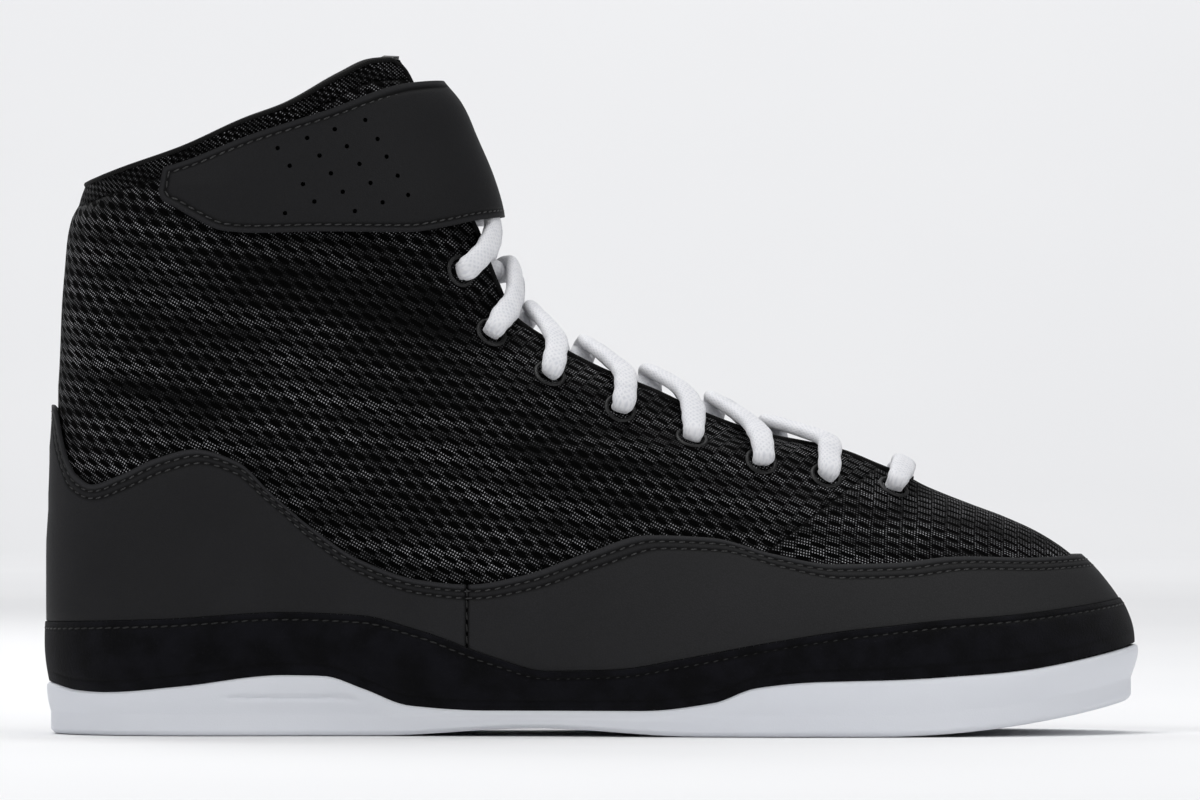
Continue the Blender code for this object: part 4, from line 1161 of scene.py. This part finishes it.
tongueLook = {"wing": 0.0262, "thick": 0.0040, "rise": 0.0026, "shoulder": 0.0120, "wave": 0.0004,
              "wavePitch": 0.017, "edge": 0.0014}
laceLook = {"halfWide": 0.0033, "halfThick": 0.0017, "hiddenWide": 0.0026, "hiddenThick": 0.0010,
            "pinch": 0.0021, "over": 0.0028, "bend": 0.0028, "cross": 0.0018, "edge": 0.86,
            "reach": (0.33, 0.92), "sides": 18, "steps": 9}
laceBend = ((-1.2, -0.86, -0.42, 0.0, 0.36, 0.72), (0.0, 0.4, 1.0, 0.85, 0.4, 0.0))


hiddenGap, hiddenHalf = 0.0010, 0.0009


# How far out the tongue lies: deep enough under the facings for the hidden lace, higher in the middle.
def tongueOut(share):
    underFacing = upperWall + 2 * hiddenGap + 2 * hiddenHalf + fitGap
    middle = 0.66 * underFacing
    return -(middle + (underFacing - middle) * smoothStep(0, 0.42, np.abs(share)))


def makeTongue():
    look = tongueLook
    share = np.linspace(-1, 1, 61)
    levels = np.concatenate([np.linspace(0.372, 0.60, 60), np.linspace(0.605, 1.0, 50)])
    top = collarHeight + look["rise"] - look["shoulder"] * np.abs(share) ** 2.2
    bottom = levels[0] * collarHeight
    rise = (levels - levels[0]) / (1 - levels[0])
    height = bottom + (top[None, :] - bottom) * rise[:, None]
    level = np.minimum(height, collarHeight)
    shrink = 1 - 0.30 * np.clip((0.46 - levels) / 0.09, 0, 1)
    reach = look["wing"] * shrink[:, None] * np.abs(share)[None, :]
    angle = reachAngle(level, reach) * np.where(share < 0, -1, 1)[None, :]
    out = tongueOut(share)[None, :] - look["thick"] / 2 + 0.0003
    wave = np.sin(height * 2 * np.pi / look["wavePitch"]) * bump(share, 0, 0.4)[None, :]
    out = out + look["wave"] * wave
    points = onLast(angle, level, out)
    points[..., 2] += height - level
    piece = gridPiece("tonguePad", points, gridUv(points), lining)
    thicken(piece, look["thick"], look["edge"], 4)
    finishPiece(piece, "knit", "tongue")


def eyeletPlace(number, side):
    along, height = eyeletRows[number]
    z = height * collarHeight
    return float(sideAngle(along * shoeLength, z, side)), z


# Where the straight line between two eyelets runs on the last, at a share of the angle between them.
def crossingPlace(one, other, share):
    start, end = lastPoint(*one), lastPoint(*other)
    outward = lastNormal(*one) + lastNormal(*other)
    beside = unit(np.cross(end - start, outward))
    angle = one[0] + (other[0] - one[0]) * share
    low, high = (share * collarHeight for share in laceLook["reach"])

    def past(height):
        return np.dot(lastPoint(angle, height) - start, beside) > 0

    rising = past(high)
    return angle, float(halve(low, high, 24, lambda height: past(height) == rising))


# The same, at a share of the throat's half width beside its middle line.
def crossingAt(one, other, reach):
    sign = 1 if other[0] > one[0] else -1

    def past(share):
        place = lastPoint(*crossingPlace(one, other, share))
        return sign * (place[1] - float(centreLine(place[0]))) >= reach * float(throatHalfAt(place[0]))

    return crossingPlace(one, other, float(halve(0.0, 1.0, 16, past)))


# Middle line of one lace end: place, outward direction, how flat it lies and how far it is in the open.
def laceStations(startSide):
    over, under = laceLook["over"], -(upperWall + hiddenGap + hiddenHalf)
    through = ((over, 0.75, 1.0), (0.35 * over, 0.35, 0.8), (-0.5 * upperWall, 0.2, 0.2), (under, 0.8, 0.0))
    first = eyeletPlace(0, startSide)
    stations = [(onLast(*first, out), lastNormal(*first), flat, bare) for out, flat, bare in through]
    side, edge = startSide, laceLook["edge"]
    for number in range(len(eyeletRows) - 1):
        one, other = eyeletPlace(number, side), eyeletPlace(number + 1, -side)
        start = lastPoint(*one)
        hole = abs(start[1] - float(centreLine(start[0]))) / float(throatHalfAt(start[0]))
        steps = [(-edge - (hole - edge) * s, over * (1.0 + 0.22 * math.sin(math.pi * (1 - s))))
                 for s in (0.75, 0.38)]
        steps += [(-edge, over * 1.15), (-0.42, 0.95 * over), (0.0, 0.15 * over), (0.36, 0.50 * under),
                  (0.72, under), (0.72 + 0.6 * (hole - edge), under)]
        for reach, out in steps:
            if number == 0:
                out = under if reach < -0.5 else min(out, 0.6 * under)
            lift = 0.0
            if reach == 0.0 and number:
                lift = laceLook["cross"] * startSide * (1 if number % 2 else -1)
            angle, height = crossingAt(one, other, reach)
            place = angle, height + laceLook["bend"] * float(np.interp(reach, *laceBend))
            bare = 1.0 if out > 0 else float(smoothStep(under, 0.4 * under, out))
            stations.append((onLast(*place, out + lift), lastNormal(*place), 1.0, bare))
        stations += [(onLast(*other, out), lastNormal(*other), flat, bare)
                     for out, flat, bare in through[::-1]]
        side = -side
    return stations


def smoothPath(values, steps):
    values = np.array(values, dtype=float)
    padded = np.concatenate([2 * values[:1] - values[1:2], values, 2 * values[-1:] - values[-2:-1]])
    result = []
    for k in range(1, len(padded) - 2):
        a, b, c, d = padded[k - 1], padded[k], padded[k + 1], padded[k + 2]
        for t in np.arange(steps) / steps:
            result.append(0.5 * (2 * b + (c - a) * t + (2 * a - 5 * b + 4 * c - d) * t * t
                                 + (3 * b - a - 3 * c + d) * t ** 3))
    result.append(values[-1])
    return np.array(result)


# Places, wide and thin directions and half sizes along the lace. Each wide direction follows the one before.
def laceTrack(stations, look):
    places = smoothPath([s[0] for s in stations], look["steps"])
    normals = unit(smoothPath([s[1] for s in stations], look["steps"]))
    flat, bare = np.clip(smoothPath([s[2:4] for s in stations], look["steps"]), 0, 1).T
    tangents = unit(np.gradient(places, axis=0))
    wides, before = [], None
    for tangent, normal in zip(tangents, normals):
        across = np.cross(tangent, normal)
        if before is not None:
            carried = before - tangent * np.dot(before, tangent)
            carried /= max(np.linalg.norm(carried), 1e-9)
            if np.dot(across, carried) < 0:
                across = -across
            across = across * 0.35 + carried * 0.65
        across /= max(np.linalg.norm(across), 1e-9)
        wides.append(across)
        before = across
    wides = np.array(wides)
    thins = unit(np.cross(tangents, wides))
    lengths = runLength(places, 0)
    swell = 1 + 0.05 * np.sin(lengths * 2 * np.pi / 0.013) + 0.03 * np.sin(lengths * 2 * np.pi / 0.0051)
    openWide = (look["pinch"] + (look["halfWide"] - look["pinch"]) * flat) * swell
    openThin = look["pinch"] + (look["halfThick"] - look["pinch"]) * flat
    halfWide = look["hiddenWide"] + (openWide - look["hiddenWide"]) * bare
    halfThin = look["hiddenThick"] + (openThin - look["hiddenThick"]) * bare
    return places, wides, thins, halfWide, halfThin


def makeLaces():
    look = laceLook
    left, right = (laceStations(side) for side in (-1, 1))
    one, other = eyeletPlace(0, -1), eyeletPlace(0, 1)
    bar = []
    for share in (0.14, 0.30, 0.50, 0.70, 0.86):
        place = crossingPlace(one, other, share)
        bar.append((onLast(*place, look["over"]), lastNormal(*place), 1.0, 1.0))
    track = laceTrack(left[::-1] + bar + right, look)
    piece = tubePiece("laceCrossings", track, look["sides"], laceCloth, 2.6)
    print(f"lace: {runLength(track[0], 0)[-1]:.3f} m")
    finishPiece(piece, "lace", "lace")


bindingLook = {"wide": 0.0016, "thin": 0.00085, "sides": 12, "clear": 0.0001, "sink": 0.0002,
               "turnIn": 0.10}


# Angles and heights of the throat's edge on one side, from its round toe end up to the collar.
def openingPath(inset, samples=150):
    radius = endRadius - inset
    middle = throatToe - endRadius
    ends = []
    for turn in np.linspace(0, np.pi / 2, 14):
        x, reach = middle + radius * math.cos(turn), radius * math.sin(turn)
        low, high = 0.30 * collarHeight, collarHeight
        for _ in range(30):
            height = (low + high) / 2
            point = lastPoint(float(sideAngle(x, height, 1)), height)
            wide = abs(point[1] - float(centreLine(point[0]))) > reach
            if wide and float(ringEnds(height)[1]) > x:
                low = height
            else:
                high = height
        ends.append((float(reachAngle(height, reach)), height))
    rest = np.linspace(ends[-1][1], collarHeight * 0.985, samples)[1:]
    endAngles, endHeights = zip(*ends)
    return np.concatenate([endAngles, throatLine(rest, inset)]), np.concatenate([endHeights, rest])


def makeBinding():
    look = bindingLook
    angles, heights = openingPath(look["clear"])
    angles[0] = 0.0

    def run(side, order):
        angle, height = side * angles[order], heights[order]
        normal = lastNormal(angle, height)
        return lastPoint(angle, height) - normal * (upperWall / 2 - look["sink"]), normal

    order = np.arange(len(angles))
    upPlace, upNormal = run(1, order)
    startAngle = float(angles[-1]) + look["turnIn"]
    around = np.linspace(startAngle, 2 * np.pi - startAngle, 240)
    topHeights = meetHeight(around, toplineAt)
    topNormal = lastNormal(around, topHeights)
    topNormal[..., 2] = 0
    topNormal = unit(topNormal)
    topPlace = lastPoint(around, topHeights) - topNormal * upperWall / 2
    topPlace[..., 2] = topHeights + look["clear"]
    downPlace, downNormal = run(-1, order[::-1][:-1])
    places = np.concatenate([upPlace, topPlace, downPlace])
    normals = np.concatenate([upNormal, topNormal, downNormal])
    loop = np.concatenate([places[-6:], places, places[:6]])
    kernel = np.array([1, 4, 6, 4, 1]) / 16
    eased = np.stack([np.convolve(loop[:, k], kernel, mode="same") for k in range(3)], axis=-1)[6:-6]
    places = np.concatenate([eased, eased[:1]])
    normals = np.concatenate([normals, normals[:1]])
    tangents = unit(np.gradient(places, axis=0))
    wides = unit(normals - tangents * np.sum(normals * tangents, axis=-1, keepdims=True))
    thins = np.cross(tangents, wides)
    count = len(places)
    track = (places, wides, thins, np.full(count, look["wide"]), np.full(count, look["thin"]))
    piece = tubePiece("openingTape", track, look["sides"], tape, 2.4)
    finishPiece(piece, "binding", "opening_binding")


ringLook = {"radius": 0.0039, "cord": 0.0006, "flat": 0.6, "lift": 0.0001}


def makeEyeletRings():
    look = ringLook
    bpy.ops.mesh.primitive_torus_add(major_segments=36, minor_segments=10, major_radius=look["radius"],
                                     minor_radius=look["cord"])
    shape = verticesOf(bpy.context.active_object) * (1.0, 1.0, look["flat"])
    frames = []
    for number in range(len(eyeletRows)):
        for side in (-1, 1):
            angle, height = eyeletPlace(number, side)
            normal = lastNormal(angle, height)
            along = unit(np.cross((0.0, 1.0, 0.0), normal))
            frames.append((onLast(angle, height, look["lift"]), along, np.cross(normal, along), normal))
    finishPiece(fillWithCopies("eyeletRings", shape, frames, darkThread), "knit")


insoleLook = {"rows": 50, "thick": 0.0028, "edge": 0.0006, "middle": 0.0015, "cup": 0.0010}


def makeInsole():
    look = insoleLook
    turns = np.linspace(0.0, np.pi, 160)
    inside = -(upperWall + fitGap)
    bottom = soleFloor + fitGap
    points = fillAcross([solePoint(s * turns, bottom + 0 * turns, inside) for s in (-1, 1)], look["rows"])
    rise = look["cup"] * (2 * np.linspace(0, 1, look["rows"])[:, None] - 1) ** 4
    points[..., 2] = bottom + look["middle"] + rise
    piece = gridPiece("sockLining", points, points[..., :2].copy(), insoleCloth)
    thicken(piece, look["thick"], look["edge"])
    finishPiece(piece, "insole", "insole")


stitchLook = {"pitch": 0.0027, "long": 0.0022, "wide": 0.00052, "high": 0.00042, "tilt": 0.10,
              "endGap": 0.0006}


def stitchPiece(name, rows, material):
    look = stitchLook
    bpy.ops.mesh.primitive_uv_sphere_add(segments=8, ring_count=6, radius=0.5)
    shape = verticesOf(bpy.context.active_object)[:, [2, 0, 1]] * (look["long"], look["wide"], look["high"])
    frames = []
    for path, normals in rows:
        lengths = runLength(path, 0)
        count = max(int(lengths[-1] / look["pitch"]), 1)
        marks = (np.arange(count) + 0.5) * lengths[-1] / count

        def read(values, at):
            return np.stack([np.interp(at, lengths, values[:, k]) for k in range(3)], axis=-1)

        centre, normal = read(path, marks), unit(read(normals, marks))
        along = unit(read(path, marks + 0.0005) - read(path, marks - 0.0005))
        side = unit(np.cross(normal, along))
        frames += zip(centre, unit(along + side * look["tilt"]), side, normal)
    return fillWithCopies(name, shape, frames, material)


def insetRow(angles, heights, distance, out):
    runs = flatRun(lastPoint(angles, heights))
    inset = insetLine(np.stack([runs, heights], axis=-1), distance)
    angle = np.interp(inset[:, 0], runs, angles)
    return onLast(angle, inset[:, 1], out), lastNormal(angle, inset[:, 1])


def makeStitches():
    turns = fullRound(1200)
    out = overlayGap + overlayLook["thick"] - 0.00012
    foxingEdge = meetHeight(turns, foxingAt)
    rows = [insetRow(turns, foxingEdge, seam, out) for seam in leatherLook["seams"]]
    finishPiece(stitchPiece("foxingStitches", rows, thread), "overlay")
    suedeOut = overlayGap + overlayLook["suedeThick"] + 0.00003
    rows = [insetRow(turns, meetHeight(turns, randAt), suedeLook["seam"], suedeOut)]
    endGap = stitchLook["endGap"]
    for side in (-1, 1):
        heights = np.linspace(float(randAt(seamPlace)) + endGap, float(foxingAt(seamPlace)) - endGap, 40)
        angles = sideAngle(seamPlace, heights, side)
        rows.append((onLast(angles, heights, out), lastNormal(angles, heights)))
    finishPiece(stitchPiece("seamStitches", rows, darkThread), "overlay")
    look = strapLook
    angles, runs, outline = strapOutline()
    inset = insetLine(outline, look["seam"])
    angle, height = np.interp(inset[:, 0], runs, angles), inset[:, 1]
    front = strapFrontAt(height)
    puff = look["puff"] * smoothStep(0.0, look["puffReach"], look["seam"])
    lift = strapLift + look["thick"] + puff - 0.0001
    row = (onLast(angle, height, lift, front), lastNormal(angle, height, front))
    finishPiece(stitchPiece("strapStitches", [row], thread), "strap")


stageLook = {"camera": (0.1030, -3.2, 0.0900), "width": 0.325, "world": 0.22, "sensor": 36.0,
             "wallHeight": 3.0, "wallRise": (3.8, 7.2), "drop": 0.0002}
lightNames = ("name", "place", "aim", "size", "power")
lightRows = (
    ("keyLight", (-0.95, -1.15, 1.35), (0.08, 0.0, 0.07), 0.9, 14.0),
    ("fillLight", (1.30, -1.00, 0.70), (0.12, 0.0, 0.06), 0.8, 6.0),
    ("topLight", (0.15, 0.10, 1.50), (0.10, 0.0, 0.08), 1.0, 12.0),
    ("backLight", (-0.60, 1.20, 0.90), (0.10, 0.0, 0.10), 0.8, 6.0),
    ("wallLight", (0.10, 3.00, 3.00), (0.10, 5.00, 0.30), 3.0, 84.0),
)


def makeStage():
    bpy.ops.mesh.primitive_grid_add(x_subdivisions=110, y_subdivisions=110, size=22.0)
    floor = bpy.context.active_object
    floor.name = floor.data.name = "paleFloor"
    places = verticesOf(floor)
    rise = smoothStep(*stageLook["wallRise"], places[:, 1])
    places[:, 2] = stageLook["wallHeight"] * rise - stageLook["drop"]
    floor.data.vertices.foreach_set("co", places.reshape(-1))
    floor.data.update()
    sheet = Sheet("floorPaper", 0.85)
    cloud = sheet.noise(sheet.place(), 3.0)
    floor.data.materials.append(sheet.finish(sheet.mix(cloud, (0.86, 0.86, 0.87, 1), (0.90, 0.90, 0.905, 1))))
    smooth(floor)
    world = bpy.context.scene.world or bpy.data.worlds.new("studio")
    bpy.context.scene.world = world
    world.use_nodes = True
    back = world.node_tree.nodes.get("Background")
    back.inputs[0].default_value = (0.93, 0.95, 1.0, 1)
    back.inputs[1].default_value = stageLook["world"]
    for row in lightRows:
        light = dict(zip(lightNames, row))
        bpy.ops.object.light_add(type="AREA", location=light["place"])
        lamp = bpy.context.active_object
        lamp.name = light["name"]
        lamp.data.size, lamp.data.energy = light["size"], light["power"]
        away = np.array(light["place"]) - np.array(light["aim"])
        lamp.rotation_euler = (math.atan2(math.hypot(away[0], away[1]), away[2]), 0.0,
                               math.atan2(away[1], away[0]) + math.pi / 2)
    bpy.ops.object.camera_add(location=stageLook["camera"], rotation=(math.pi / 2, 0.0, 0.0))
    camera = bpy.context.active_object
    camera.data.sensor_width = stageLook["sensor"]
    camera.data.lens = stageLook["sensor"] * -stageLook["camera"][1] / stageLook["width"]
    camera.data.clip_end = 50.0
    bpy.context.scene.camera = camera
    bpy.context.scene.view_settings.view_transform = "Standard"


stages = {"upper": makeUpper, "overlays": makeOverlays, "sole": makeSole, "strap": makeStrap,
          "tongue": makeTongue, "laces": makeLaces, "binding": makeBinding, "eyelets": makeEyeletRings,
          "insole": makeInsole, "stitches": makeStitches, "floor, lights and camera": makeStage}
for label, make in stages.items():
    make()
    print("stage:", label)
